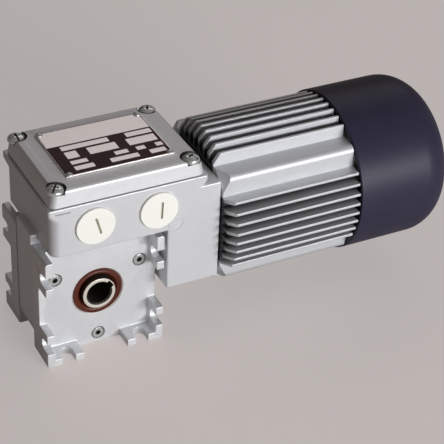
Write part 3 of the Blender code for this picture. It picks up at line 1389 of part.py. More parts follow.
def build_tie_rods():
    """Long bolts that clamp the end shield and the frame to the flange."""
    low = FLANGE_RIGHT - TIE_ROD_THREAD
    head_low = SHIELD_BACK + CLEAR / 2
    head_high = head_low + TIE_ROD_HEAD
    for number, (y, z) in enumerate(tie_rod_places(), 1):
        bolt = rod(f"tie_rod_{number}", TIE_ROD_RADIUS, "X", low, head_low + CUT_OVER, (0, y, z), TINY)
        head = rod(
            f"tie_rod_head_{number}", TIE_ROD_HEX / math.sqrt(3), "X", head_low, head_high, (0, y, z), 6
        )
        join(bolt, head)
        finish_part(bolt, "zinc")


def build_wave_spring():
    """Wavy washer that loads the rear bearing."""
    outer = MOTOR_BEARING_OUTER - CLEAR
    inner = outer - SPRING_WIDTH
    middle = REAR_BEARING_END + SPRING_ROOM / 2
    half = SPRING_SHEET / 2
    steps = 36
    sections = []
    for i in range(steps):
        turn = 2 * math.pi * i / steps
        x = middle + SPRING_WAVE * math.cos(SPRING_WAVES * turn)
        ring = ((outer, x - half), (outer, x + half), (inner, x + half), (inner, x - half))
        sections.append(
            [(h, r * math.cos(turn), CENTRE_DISTANCE + r * math.sin(turn)) for r, h in ring]
        )
    finish_part(loft("wave_spring", sections, closed=True), "steel")


def build_fan(parent):
    """Radial fan: straight blades round a hub, on a back disc."""
    outline = []
    half = FAN_BLADE_WIDTH / 2
    root = math.degrees(math.asin(half / FAN_HUB_RADIUS))
    pitch = FULL_TURN / FAN_BLADES
    for blade in range(FAN_BLADES):
        angle = pitch * blade
        turn = math.radians(angle)
        for u, v in ((FAN_RADIUS, -half), (FAN_RADIUS, half)):
            outline.append(
                (u * math.cos(turn) - v * math.sin(turn), u * math.sin(turn) + v * math.cos(turn))
            )
        outline += arc(0, 0, FAN_HUB_RADIUS, angle + root, angle + pitch - root, 3)
    fan = prism("cooling_fan", outline, "X", FAN_LOW + FAN_DISC / 2, FAN_HIGH, MOTOR_AXIS)
    disc = rod(
        "fan_disc", FAN_RADIUS - CUT_OVER, "X", FAN_LOW, FAN_LOW + FAN_DISC, MOTOR_AXIS, FINE
    )
    bore = rod(
        "cut_fan_bore", SHAFT_FAN_RADIUS + PRESS_GAP, "X",
        FAN_LOW - CUT_OVER, FAN_HIGH + CUT_OVER, MOTOR_AXIS, MEDIUM,
    )
    join(fan, disc)
    cut(fan, bore)
    finish_part(fan, "fan_plastic", parent)


def build_fan_ring(parent):
    """Retaining ring in the shaft's groove, open on one side."""
    first, last = RING_OPENING, FULL_TURN - RING_OPENING
    inner = SHAFT_FAN_RADIUS - RING_GROOVE + CLEAR
    outline = arc(0, 0, RING_RADIUS, first, last, SMALL) + arc(0, 0, inner, last, first, SMALL)
    ring = prism(
        "fan_retaining_ring", outline, "X", RING_LOW, RING_LOW + RING_THICKNESS, MOTOR_AXIS
    )
    finish_part(ring, "steel", parent)


def grille_outlines():
    """Arc slots in rows round the middle, with a rib between each two."""
    sector = FULL_TURN / GRILLE_RIBS
    for row in range(GRILLE_ROWS):
        inner = GRILLE_INNER + row * (GRILLE_SLOT + GRILLE_RING)
        outer = inner + GRILLE_SLOT
        count = 2 + row // 2
        for step in range(GRILLE_RIBS):
            near = math.degrees(GRILLE_RIB_WIDTH / 2 / inner)
            far = math.degrees(GRILLE_RIB_WIDTH / 2 / outer)
            start = step * sector
            end = start + sector
            yield arc(0, 0, outer, start + far, end - far, count) + arc(
                0, 0, inner, end - near, start + near, count
            )


def build_fan_cover():
    """Moulded hood over the fan, with an air grille in its rounded end."""
    outer = COVER_RADIUS
    radius = COVER_ROUNDING
    wall = COVER_WALL
    bend = COVER_HIGH - radius
    outside = arc(outer - radius, bend, radius, 0, 90, 6)
    inside = arc(outer - radius, bend, radius - wall, 90, 0, 3)
    edge = COVER_EDGE
    profile = (
        [(outer - edge, COVER_LOW)] + [(outer, COVER_LOW + edge)] + outside
        + [(0, COVER_HIGH), (0, COVER_HIGH - wall)] + inside
        + [(outer - wall, COVER_LOW)]
    )
    cover = turned("fan_cover", profile, "X", MOTOR_AXIS, FINE)
    slots = extruded(
        "cut_grille", list(grille_outlines()), "X",
        COVER_HIGH - 2 * wall, COVER_HIGH + CUT_OVER, MOTOR_AXIS,
    )
    cut(cover, slots)
    finish_part(cover, "fan_plastic")


def axis_marker(name, location):
    marker = bpy.data.objects.new(name, None)
    parts.objects.link(marker)
    marker.location = location
    marker.empty_display_size = 0.02
    return marker


def main():
    output_axis = axis_marker("output_axis", (0, 0, 0))
    motor_axis = axis_marker("motor_axis", MOTOR_AXIS)
    bpy.context.view_layer.update()
    build_case()
    for prefix, side in (("front", -1), ("rear", 1)):
        build_cover(f"{prefix}_cover", side)
        build_cover_screws(prefix, side)
        build_output_seal(f"{prefix}_oil_seal", side)
        start = BEARING_START if side > 0 else -BEARING_END
        build_bearing(
            f"{prefix}_output", OUTPUT_RADIUS + PRESS_GAP, OUTPUT_BEARING_OUTER,
            OUTPUT_BEARING_WIDTH, "Y", start, output_axis,
        )
    build_hollow_shaft(output_axis)
    build_worm_wheel(output_axis)
    build_motor_shaft(motor_axis)
    build_shaft_seal()
    build_bearing(
        "worm_nose", SHAFT_NOSE_RADIUS + PRESS_GAP, NOSE_BEARING_OUTER, NOSE_BEARING_WIDTH,
        "X", NOSE_BEARING_START, motor_axis, MOTOR_AXIS,
    )
    build_bearing(
        "front_motor", SHAFT_BEARING_RADIUS + PRESS_GAP, MOTOR_BEARING_OUTER,
        MOTOR_BEARING_WIDTH, "X", SHAFT_BEARING_START, motor_axis, MOTOR_AXIS,
    )
    build_bearing(
        "rear_motor", SHAFT_BEARING_RADIUS + PRESS_GAP, MOTOR_BEARING_OUTER,
        MOTOR_BEARING_WIDTH, "X", REAR_BEARING_START, motor_axis, MOTOR_AXIS,
    )
    build_terminal_box()
    build_plugs()
    build_terminal_block()
    build_motor_frame()
    build_stator()
    build_rotor(motor_axis)
    build_end_shield()
    build_tie_rods()
    build_wave_spring()
    build_fan(motor_axis)
    build_fan_ring(motor_axis)
    build_fan_cover()


main()
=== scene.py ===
"""Looks of the worm gear motor: painted castings, finned motor, fan hood, plate and fasteners.

Metres, in the frame of the CAD model: output axis along Y at the origin, motor along +X, front -Y.
"""
import math

import bmesh
import bpy
from mathutils import Matrix, Vector


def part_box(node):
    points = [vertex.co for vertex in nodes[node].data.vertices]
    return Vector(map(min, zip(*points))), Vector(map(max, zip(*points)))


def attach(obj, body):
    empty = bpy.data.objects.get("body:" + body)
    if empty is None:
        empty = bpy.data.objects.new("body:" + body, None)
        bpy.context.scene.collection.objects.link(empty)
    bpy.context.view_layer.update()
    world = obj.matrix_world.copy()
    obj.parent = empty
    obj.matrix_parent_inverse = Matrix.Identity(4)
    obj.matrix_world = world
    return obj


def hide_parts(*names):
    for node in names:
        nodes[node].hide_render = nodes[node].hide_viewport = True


MM = 0.001
# How near counts as lying on a face
NEAR = 0.01 * MM

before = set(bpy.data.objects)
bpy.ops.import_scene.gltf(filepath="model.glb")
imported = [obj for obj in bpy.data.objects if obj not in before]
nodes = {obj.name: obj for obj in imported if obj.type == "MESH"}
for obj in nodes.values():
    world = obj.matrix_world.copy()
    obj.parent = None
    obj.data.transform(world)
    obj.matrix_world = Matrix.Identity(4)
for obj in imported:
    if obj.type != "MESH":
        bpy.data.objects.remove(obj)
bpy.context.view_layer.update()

HOUSING = "housing"
OUTPUT = "output_shaft"

# Camera of the photograph
VIEW_TURN = math.radians(-28.39)
VIEW_HEIGHT = math.radians(33.97)
VIEW_ROLL = math.radians(2.69)
VIEW_TARGET = Vector((90.22, 0, 9.69)) * MM
VIEW_DISTANCE = 924.04 * MM
VIEW_FOCAL_PIXELS = 1537.73
PHOTO_PIXELS = 444
SENSOR = 36.0
VIEW_CLIP = (0.01, 50.0)

# Read from the frame
low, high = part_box("gear_case")
BOX_FRONT, FLANGE_RIGHT, BOX_TOP = low.y, high.x, high.z
BOX_REAR = -BOX_FRONT
RIM_PROUD = high.y - BOX_REAR
low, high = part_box("front_cover")
COVER_HALF, LEG_END = high.x, -low.y
low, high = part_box("terminal_box_lid")
LID_LEFT, LID_RIGHT = low.x, high.x
LID_BOTTOM, LID_TOP = low.z, high.z
low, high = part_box("lid_gasket")
GASKET_BOTTOM, GASKET_TOP = low.z, high.z
low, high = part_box("hollow_output_shaft")
SHAFT_RADIUS, SHAFT_END = high.x, high.y
low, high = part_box("front_oil_seal")
SEAL_RADIUS, SEAL_FACE = high.x, -low.y
low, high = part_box("motor_frame")
FRAME_START, FRAME_END = low.x, high.x
MOTOR_HEIGHT = (low.z + high.z) / 2
low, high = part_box("fan_cover")
HOOD_START, HOOD_END, HOOD_RADIUS = low.x, high.x, high.y
PLATE_LOW, PLATE_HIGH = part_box("nameplate")
MOTOR_AXIS = Vector((0, 0, MOTOR_HEIGHT))

# Gearbox and covers
CASE_CORNER = 17.0 * MM
CASE_HALF_DEPTH = 12.0 * MM
CASE_EDGE = 0.9 * MM
REBATE_WIDTH = 2.1 * MM
REBATE_DEPTH = 2.5 * MM
WHEEL_ROOM_RADIUS = 26.5 * MM
COVER_BACK = 12.3 * MM
COVER_FACE = 22.0 * MM
COVER_CORNER = 1.4 * MM
COVER_EDGE = 0.55 * MM
LEG_WALL = 4.8 * MM
LEG_REACH = 22.5 * MM
SLOT_WIDTH = 7.5 * MM
SLOT_DEPTH = 9.0 * MM
SLOT_INSET = 13.25 * MM
SINK_RADIUS = 4.2 * MM
SINK_DEPTH = 4.3 * MM
SINK_CHAMFER = 0.25 * MM
SEAL_POCKET_GAP = 0.25 * MM
SEAL_POCKET_CHAMFER = 0.7 * MM
CAP_HEIGHT = 4.0 * MM
CAP_EDGE = 0.45 * MM
CAP_SOCKET_WIDTH = 3.0 * MM
CAP_SOCKET_DEPTH = 2.0 * MM
# Bright edge left round the painted shade in a recess
UNSHADED_RIM = 0.2 * MM

# Oil seals and hollow shaft
SEAL_DEPTH = 6.0 * MM
SEAL_LIP_GAP = 0.3 * MM
SEAL_LIP_EDGE = 0.3 * MM
SEAL_LIP_TOP = 2.2 * MM
SEAL_LIP_BOTTOM = 2.6 * MM
# Face of the seal from its rim inwards, each step as (inset, depth under the face)
SEAL_STEPS = (
    (0, 0.5), (0.4, 0.05), (1.3, 0), (1.5, 0.25), (1.8, 0.05), (2.5, 0.1), (3.1, 0.5), (3.6, 1.5)
)
SHAFT_BORE = 7.0 * MM
SHAFT_EDGE = 0.45 * MM
SHAFT_BRIGHT_END = 0.3 * MM
BORE_CHAMFER = 1.1 * MM
BORE_CHAMFER_DEPTH = 0.9 * MM
KEY_WIDTH = 5.0 * MM
KEY_DEPTH = 2.3 * MM
KEY_INNER_END = 3.0 * MM
KEY_TURN = -35.0

# Terminal box and flange
BOX_LEFT = -32.0 * MM
BOX_RIGHT = 60.5 * MM
BOX_BOTTOM = 39.0 * MM
BOX_CORNER = 5.5 * MM
BOX_WALL = 3.2 * MM
BOX_EDGE = 0.7 * MM
RIM_HEIGHT = 3.6 * MM
RIM_TAPER = 4.6 * MM
RIM_CORNER = 1.6 * MM
TERMINAL_FLOOR = 64.2 * MM
TERMINAL_CORNER = 6.0 * MM
FLANGE_LEFT = 37.5 * MM
FLANGE_BOTTOM = -1.3 * MM
FLANGE_TOP = 63.6 * MM
FLANGE_EDGE = 1.0 * MM
NECK_BOTTOM = 5.3 * MM
NECK_INSET = 0.5 * MM
NECK_IN_CASE = 6.0 * MM
NECK_IN_FLANGE = 4.0 * MM
SLIT_LEFT = 2.5 * MM
SLIT_LENGTH = 8.8 * MM
SLIT_BELOW = 2.7 * MM
SLIT_WIDTH = 0.7 * MM
SLIT_DEPTH = 1.4 * MM
CAST_MARK_PLACE = (42.3 * MM, 0, 42.8 * MM)
CAST_MARK_RADIUS = 4.7 * MM
CAST_MARK_LINE = 0.45 * MM
CAST_MARK_DEPTH = 0.3 * MM
CAVITY_WALL = 6.0 * MM
CAVITY_DEPTH = 21.5 * MM
BORE_GAP = 0.25 * MM
BORE_RELIEF = 3.0 * MM

# Lid, gasket and lid screws
LID_CORNER = 4.0 * MM
LID_END_DRAFT = 2.0 * MM
LID_SIDE_DRAFT = 0.6 * MM
LID_ROUNDING = 1.8 * MM
LID_FOOT_EDGE = 0.2 * MM
LID_LIP = 0.7 * MM
LID_LIP_WALL = 0.9 * MM
LID_WALL = 3.0 * MM
LID_ROOF = 2.5 * MM
LID_HOLLOW_CORNER = 9.0 * MM
LID_EDGE = 0.25 * MM
POCKET_RADIUS = 6.3 * MM
POCKET_DEPTH = 2.6 * MM
# Bright rim left above the painted shade in the lid's screw pockets
POCKET_UNSHADED_RIM = 0.3 * MM
GASKET_GAP = 0.1 * MM
GASKET_CORNER = 3.0 * MM
GASKET_HOLE_CORNER = 6.0 * MM
PAN_HEIGHT = 3.4 * MM
PAN_SKIRT = 1.1 * MM
PAN_SLOT_WIDTH = 1.2 * MM
PAN_SLOT_DEPTH = 1.3 * MM
PAN_CROSS_WIDTH = 1.4 * MM
PAN_CROSS_LENGTH = 4.8 * MM
PAN_CROSS_DEPTH = 1.9 * MM
PAN_FIRST_TURN = 20
PAN_TURN_STEP = 35

# Nameplate
PLATE_EDGE = 0.15 * MM
PLATE_MARGIN = 0.25 * MM
PLATE_LINE = 0.4 * MM
PRINT_RIGHT = 0.6 * MM
PRINT_BOTTOM = 0.8 * MM
PRINT_TOP = 31.2 * MM
PRINT_DEPTH = 0.05 * MM
# Blank boxes in the print, in rows of (low, high, (left, right) of each box), from the plate's corner
BLANK_ROWS = (
    (25.4, 29.9, ((7.5, 35.9), (46.4, 62.0))),
    (16.5, 23.7, ((7.5, 14.6), (20.8, 38.0), (44.4, 61.6))),
    (10.3, 14.1, ((7.3, 17.1), (33.3, 41.3), (46.3, 51.7), (57.9, 62.1))),
    (4.1, 8.3, ((7.2, 18.7), (28.4, 45.2), (52.0, 61.5))),
)

# Cable plugs, with the turn of each one's slot in degrees
PLUG_TURNS = {"left_cable_plug": -16.0, "right_cable_plug": 2.0}
PLUG_RADIUS = 11.5 * MM
PLUG_THICKNESS = 1.5 * MM
PLUG_GAP = 0.1 * MM
PLUG_EDGE = 0.5 * MM
PLUG_SLOT_LENGTH = 11.0 * MM
PLUG_SLOT_WIDTH = 1.3 * MM
PLUG_SLOT_DEPTH = 0.8 * MM
PLUG_SLOT_SHIFT = 1.5 * MM

# Motor
FRAME_HALF = 35.5 * MM
FRAME_BORE = 33.0 * MM
CORNER_ROUNDING = 4.0 * MM
FIN_TIP_RADIUS = 48.1 * MM
FIN_COUNT = 8
FIN_PITCH = 6.1 * MM
FIN_TIP = 1.8 * MM
FIN_ROOT = 2.3 * MM
FIN_EDGE = 0.4 * MM
# Painted shade in the gaps, measured down from the fins' tips and out from the last fin
GAP_SHADE_FULL_DEPTH = 8.0 * MM
GAP_SHADE_START_DEPTH = 2.0 * MM
GAP_SHADE_CORNER_GAP = 0.5 * MM
CONE_DEPTH = 4.9 * MM
CONE_LENGTH = 4.2 * MM
HOOD_WALL = 2.35 * MM
HOOD_ROUNDING = 21.3 * MM
HOOD_EDGE = 0.7 * MM
GRILLE_INNER = 7.0 * MM
GRILLE_SLOT = 3.6 * MM
GRILLE_RING = 2.8 * MM
GRILLE_ROWS = 3
GRILLE_RIBS = 6
GRILLE_RIB = 2.6 * MM

# Studio
FLOOR_SIZE = 40.0
FLOOR_COLOUR = (0.42, 0.35, 0.32)
FLOOR_GLOW_COLOUR = (1.0, 0.96, 0.955)
FLOOR_GLOW = 0.355
FLOOR_MIRRORED = 0.25
SKY_COLOUR = (1.0, 0.86, 0.77)
SKY_STRENGTH = 0.11
LIGHT_TARGET = Vector((60, 0, 20)) * MM

# Local Z of a turned or extruded piece, laid along each world axis
AXIS_FRAMES = {
    "X": Matrix(((0, 0, 1, 0), (1, 0, 0, 0), (0, 1, 0, 0), (0, 0, 0, 1))),
    "Y": Matrix(((1, 0, 0, 0), (0, 0, -1, 0), (0, 1, 0, 0), (0, 0, 0, 1))),
    "Z": Matrix.Identity(4),
}
scene = bpy.context.scene


# Meshes

def link(name, mesh, matrix=None):
    piece = bpy.data.objects.new(name, mesh)
    scene.collection.objects.link(piece)
    if matrix is not None:
        mesh.transform(matrix)
    return piece


def to_mesh(bm, name):
    mesh = bpy.data.meshes.new(name)
    bm.to_mesh(mesh)
    bm.free()
    return mesh


def along(axis, centre=(0, 0, 0)):
    """Frame at a centre whose Z lies along an axis (towards -Y for Y)."""
    return Matrix.Translation(centre) @ AXIS_FRAMES[axis]


def block(name, low, high):
    bm = bmesh.new()
    bmesh.ops.create_cube(bm, size=1.0)
    bmesh.ops.scale(bm, vec=[b - a for a, b in zip(low, high)], verts=bm.verts)
    middle = [(a + b) / 2 for a, b in zip(low, high)]
    return link(name, to_mesh(bm, name), Matrix.Translation(middle))


def loft(name, sections, matrix=None):
    """Skin equal rings of points, with a flat cap at each end."""
    bm = bmesh.new()
    rings = [[bm.verts.new(point) for point in section] for section in sections]
    count = len(rings[0])
    for lower, upper in zip(rings, rings[1:]):
        for i in range(count):
            j = (i + 1) % count
            bm.faces.new((lower[i], lower[j], upper[j], upper[i]))
    bm.faces.new(list(reversed(rings[0])))
    bm.faces.new(rings[-1])
    bmesh.ops.recalc_face_normals(bm, faces=bm.faces)
    return link(name, to_mesh(bm, name), matrix)


def prism(name, outline, axis, low, high, centre=(0, 0, 0)):
    """Extrude an outline: (y, z) along X, (x, z) along Y, (x, y) along Z."""
    sign = -1 if axis == "Y" else 1
    ends = sorted((sign * low, sign * high))
    return loft(name, [[(u, v, end) for u, v in outline] for end in ends], along(axis, centre))


def turned(name, profile, axis, centre=(0, 0, 0), steps=96):
    """Lathe a closed profile of (radius, place along the axis) points."""
    sign = -1 if axis == "Y" else 1
    bm = bmesh.new()
    rings = []
    for radius, place in profile:
        if radius == 0:
            rings.append([bm.verts.new((0, 0, sign * place))])
            continue
        ring = []
        for i in range(steps):
            turn = 2 * math.pi * i / steps
            ring.append(bm.verts.new((radius * math.cos(turn), radius * math.sin(turn), sign * place)))
        rings.append(ring)
    pairs = list(zip(rings, rings[1:]))
    if len(rings[0]) > 1 and len(rings[-1]) > 1:
        pairs.append((rings[-1], rings[0]))
    for first, second in pairs:
        for i in range(steps):
            j = (i + 1) % steps
            corners = [first[i % len(first)], first[j % len(first)]]
            corners += [second[j % len(second)], second[i % len(second)]]
            corners = list(dict.fromkeys(corners))
            if len(corners) > 2:
                bm.faces.new(corners)
    bmesh.ops.recalc_face_normals(bm, faces=bm.faces)
    return link(name, to_mesh(bm, name), along(axis, centre))


def rod(name, radius, axis, low, high, centre=(0, 0, 0), steps=48):
    return turned(name, [(0, low), (radius, low), (radius, high), (0, high)], axis, centre, steps)


def bake(piece):
    """Keep the result of a piece's modifiers as its mesh."""
    bpy.context.view_layer.update()
    evaluated = piece.evaluated_get(bpy.context.evaluated_depsgraph_get())
    mesh = bpy.data.meshes.new_from_object(evaluated)
    piece.modifiers.clear()
    piece.data = mesh
    return piece


def combine(piece, operation, tools):
    """Cut, join or intersect a piece with tools, which are then removed."""
    for tool in tools:
        step = piece.modifiers.new("shape", "BOOLEAN")
        step.operation = operation
        step.object = tool
        step.solver = "EXACT"
    bake(piece)
    for tool in tools:
        bpy.data.objects.remove(tool, do_unlink=True)


def cut(piece, *tools):
    combine(piece, "DIFFERENCE", tools)


def join(piece, *tools):
    combine(piece, "UNION", tools)


def flatten(piece):
    """Dissolve the edges that a Boolean leaves inside flat faces."""
    bm = bmesh.new()
    bm.from_mesh(piece.data)
    bmesh.ops.remove_doubles(bm, verts=bm.verts, dist=0.002 * MM)
    bmesh.ops.dissolve_limit(
        bm, angle_limit=math.radians(0.5), use_dissolve_boundaries=False,
        verts=bm.verts, edges=bm.edges, delimit={"NORMAL"},
    )
    bm.to_mesh(piece.data)
    bm.free()


def soften(piece, width, segments=3, angle=35.0):
    """Round every edge sharper than an angle."""
    edge = piece.modifiers.new("soft_edges", "BEVEL")
    edge.width = width
    edge.segments = segments
    edge.limit_method = "ANGLE"
    edge.angle_limit = math.radians(angle)
    edge.miter_outer = "MITER_ARC"
    return bake(piece)


def finish(piece, material, body=HOUSING, replaces=(), smooth=40.0):
    """Give a piece its material and even shading, and let it ride on its body."""
    piece.data.materials.clear()
    piece.data.materials.append(material)
    piece.data.shade_smooth()
    piece.data.set_sharp_from_angle(angle=math.radians(smooth))
    even = piece.modifiers.new("even_shading", "WEIGHTED_NORMAL")
    even.keep_sharp = True
    bake(piece)
    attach(piece, body)
    if replaces:
        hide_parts(*replaces)


def repaint(piece, material, inside):
    """Give the faces whose middle passes a test a second material."""
    piece.data.materials.append(material)
    for face in piece.data.polygons:
        if inside(face.center):
            face.material_index = len(piece.data.materials) - 1


def arc(u, v, radius, start, end, count):
    steps = [math.radians(start + (end - start) * i / count) for i in range(count + 1)]
    return [(u + radius * math.cos(a), v + radius * math.sin(a)) for a in steps]


def rounded(low_u, high_u, low_v, high_v, radius, count=10):
    return (
        arc(high_u - radius, low_v + radius, radius, -90, 0, count)
        + arc(high_u - radius, high_v - radius, radius, 0, 90, count)
        + arc(low_u + radius, high_v - radius, radius, 90, 180, count)
        + arc(low_u + radius, low_v + radius, radius, 180, 270, count)
    )


def at_height(outline, height):
    return [(u, v, height) for u, v in outline]


def middle_of(name):
    low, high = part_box(name)
    return (low + high) / 2


def off_axis(point, axis, centre=(0, 0, 0)):
    """Distance of a point from the line along an axis through a centre."""
    u, v = ("XYZ".index(other) for other in "XYZ" if other != axis)
    return math.hypot(point[u] - centre[u], point[v] - centre[v])


def box_inset(inset, corner):
    """Outline of the lid's foot, drawn in by an inset, as (x, y)."""
    return rounded(LID_LEFT + inset, LID_RIGHT - inset, BOX_FRONT + inset, BOX_REAR - inset, corner)


def ordered(side, near, far):
    """Y range from near to far, on the front (-1) or the rear (1)."""
    return sorted((side * near, side * far))


def on_side(side, profile):
    """Profile of (radius, y) points, put on the front (-1) or the rear (1)."""
    return [(radius, side * place) for radius, place in profile]


# Materials

def new_group(name, inputs, outputs):
    """Empty shader group: inputs maps names to default numbers or vectors, outputs are numbers."""
    group = bpy.data.node_groups.new(name, "ShaderNodeTree")
    for label, value in inputs.items():
        kind = "NodeSocketVector" if isinstance(value, tuple) else "NodeSocketFloat"
        socket = group.interface.new_socket(label, in_out="INPUT", socket_type=kind)
        socket.default_value = value
    for label in outputs:
        group.interface.new_socket(label, in_out="OUTPUT", socket_type="NodeSocketFloat")
    tree = group.nodes
    return group, tree.new("NodeGroupInput"), tree.new("NodeGroupOutput")


def node(group, kind, **values):
    made = group.nodes.new(kind)
    for name, value in values.items():
        setattr(made, name, value)
    return made


def plug_in(group, socket, value):
    if isinstance(value, bpy.types.NodeSocket):
        group.links.new(value, socket)
    else:
        socket.default_value = value


def maths(group, operation, a, b=0.0, clamp=False):
    made = node(group, "ShaderNodeMath", operation=operation, use_clamp=clamp)
    plug_in(group, made.inputs[0], a)
    plug_in(group, made.inputs[1], b)
    return made.outputs[0]


def vector_maths(group, operation, a, b=(0.0, 0.0, 0.0)):
    made = node(group, "ShaderNodeVectorMath", operation=operation)
    plug_in(group, made.inputs[0], a)
    plug_in(group, made.inputs[1], b)
    return made.outputs["Value" if operation == "LENGTH" else "Vector"]


def noise(group, vector, scale, detail=4.0, roughness=0.5):
    made = node(group, "ShaderNodeTexNoise")
    plug_in(group, made.inputs["Vector"], vector)
    plug_in(group, made.inputs["Scale"], scale)
    plug_in(group, made.inputs["Detail"], detail)
    made.inputs["Roughness"].default_value = roughness
    return made.outputs["Fac"]


def place_vector(group):
    return node(group, "ShaderNodeTexCoord").outputs["Object"]


def remap(group, value, low, high, to_low=0.0, to_high=1.0):
    made = node(group, "ShaderNodeMapRange")
    for name, number in (
        ("Value", value), ("From Min", low), ("From Max", high), ("To Min", to_low), ("To Max", to_high)
    ):
        plug_in(group, made.inputs[name], number)
    return made.outputs["Result"]


def make_grain_group():
    """Fine surface grain with slow cloudy change on top."""
    group, given, result = new_group(
        "surface_grain",
        {"Grain Scale": 1500.0, "Cloud Scale": 40.0, "Cloud Share": 0.3},
        ("Height", "Cloud", "Speck"),
    )
    place = place_vector(group)
    fine = noise(group, place, given.outputs["Grain Scale"], 3.0, 0.6)
    cloud = noise(group, place, given.outputs["Cloud Scale"], 3.0, 0.5)
    soft = maths(group, "MULTIPLY", cloud, given.outputs["Cloud Share"])
    group.links.new(maths(group, "ADD", fine, soft), result.inputs["Height"])
    group.links.new(remap(group, cloud, 0.3, 0.7), result.inputs["Cloud"])
    group.links.new(remap(group, fine, 0.35, 0.65), result.inputs["Speck"])
    return group


def make_wear_group():
    """Mask that is high on worn convex edges."""
    group, given, result = new_group(
        "edge_wear", {"Start": 0.52, "Gain": 14.0, "Break Up": 300.0}, ("Mask",)
    )
    edge = node(group, "ShaderNodeNewGeometry").outputs["Pointiness"]
    rough = noise(group, place_vector(group), given.outputs["Break Up"], 4.0, 0.6)
    lift = maths(group, "SUBTRACT", edge, given.outputs["Start"])
    sharp = maths(group, "MULTIPLY", lift, given.outputs["Gain"], clamp=True)
    group.links.new(maths(group, "MULTIPLY", sharp, rough, clamp=True), result.inputs["Mask"])
    return group


def make_streak_group():
    """Fine parallel marks, such as from drawing or turning."""
    group, given, result = new_group(
        "tool_marks", {"Stretch": (20.0, 2500.0, 2500.0), "Detail": 3.0}, ("Height",)
    )
    scaled = vector_maths(group, "MULTIPLY", place_vector(group), given.outputs["Stretch"])
    marks = noise(group, scaled, 1.0, given.outputs["Detail"])
    group.links.new(marks, result.inputs["Height"])
    return group


def make_gap_group():
    """Mask for the painted shade: falls from 1 at the fins' tips and the open corners to 0 deep in the
    gaps.
    """
    group, given, result = new_group(
        "fin_gap_painted_shade",
        {"Axis": (0.0, 0.0, 0.0), "Deep Radius": 0.040, "Clean Radius": 0.047, "Corner Start": 0.022},
        ("Mask",),
    )
    from_axis = vector_maths(group, "SUBTRACT", place_vector(group), given.outputs["Axis"])
    across = vector_maths(group, "MULTIPLY", from_axis, (0.0, 1.0, 1.0))
    distance = vector_maths(group, "LENGTH", across)
    clean = remap(group, distance, given.outputs["Deep Radius"], given.outputs["Clean Radius"])
    parts = node(group, "ShaderNodeSeparateXYZ")
    group.links.new(vector_maths(group, "ABSOLUTE", across), parts.inputs[0])
    nearest = maths(group, "MINIMUM", parts.outputs["Y"], parts.outputs["Z"])
    corner = maths(group, "GREATER_THAN", nearest, given.outputs["Corner Start"])
    group.links.new(maths(group, "MAXIMUM", clean, corner), result.inputs["Mask"])
    return group


grain_group = make_grain_group()
wear_group = make_wear_group()
streak_group = make_streak_group()
gap_shade_group = make_gap_group()


def use_group(material, group, **values):
    made = material.node_tree.nodes.new("ShaderNodeGroup")
    made.node_tree = group
    for name, value in values.items():
        made.inputs[name.replace("_", " ")].default_value = value
    return made


def mix_colour(material, factor, first, second):
    tree = material.node_tree
    made = tree.nodes.new("ShaderNodeMix")
    made.data_type = "RGBA"
    for socket, value in (("A", first), ("B", second)):
        plug_in(tree, made.inputs[socket], (*value, 1) if isinstance(value, tuple) else value)
    tree.links.new(factor, made.inputs["Factor"])
    return made.outputs["Result"]


def shader_of(material):
    return material.node_tree.nodes["Principled BSDF"]


def base_material(name, colour, roughness, metallic=0.0):
    material = bpy.data.materials.new(name)
    material.use_nodes = True
    shader = shader_of(material)
    shader.inputs["Base Color"].default_value = (*colour, 1)
    shader.inputs["Roughness"].default_value = roughness
    shader.inputs["Metallic"].default_value = metallic
    return material, shader


def colour_with(material, shader, colour):
    material.node_tree.links.new(colour, shader.inputs["Base Color"])


def bump(material, shader, height, distance):
    made = material.node_tree.nodes.new("ShaderNodeBump")
    made.inputs["Distance"].default_value = distance
    material.node_tree.links.new(height, made.inputs["Height"])
    material.node_tree.links.new(made.outputs["Normal"], shader.inputs["Normal"])


def vary_roughness(material, shader, value, middle, spread):
    tree = material.node_tree
    varied = remap(tree, value, 0.0, 1.0, middle - spread, middle + spread)
    tree.links.new(varied, shader.inputs["Roughness"])


def grained(name, colour, shade, roughness, metallic=0.0, grain=1500.0, cloud=90.0, depth=0.04 * MM):
    """Cast, painted or moulded surface: fine grain, cloudy colour and roughness."""
    material, shader = base_material(name, colour, roughness, metallic)
    made = use_group(material, grain_group, Grain_Scale=grain, Cloud_Scale=cloud)
    colour_with(material, shader, mix_colour(material, made.outputs["Cloud"], colour, shade))
    bump(material, shader, made.outputs["Height"], depth)
    vary_roughness(material, shader, made.outputs["Speck"], roughness, 0.06)
    return material


def streaked(name, colour, shade, roughness, metallic, stretch, depth=0.01 * MM):
    """Drawn, ground or turned metal with marks along one direction."""
    material, shader = base_material(name, colour, roughness, metallic)
    made = use_group(material, streak_group, Stretch=stretch)
    colour_with(material, shader, mix_colour(material, made.outputs["Height"], shade, colour))
    bump(material, shader, made.outputs["Height"], depth)
    vary_roughness(material, shader, made.outputs["Height"], roughness, 0.08)
    return material


def dull(material, level):
    """Weaken the plain reflection of a non-metal."""
    shader_of(material).inputs["Specular IOR Level"].default_value = level


def coated(material, weight, roughness):
    """Clear top coat, for crisp highlights on the edges."""
    shader = shader_of(material)
    shader.inputs["Coat Weight"].default_value = weight
    shader.inputs["Coat Roughness"].default_value = roughness


def worn(material, shine):
    """Let worn edges show a brighter colour."""
    shader = shader_of(material)
    wear = use_group(material, wear_group)
    before = shader.inputs["Base Color"].links[0].from_socket
    colour_with(material, shader, mix_colour(material, wear.outputs["Mask"], before, shine))


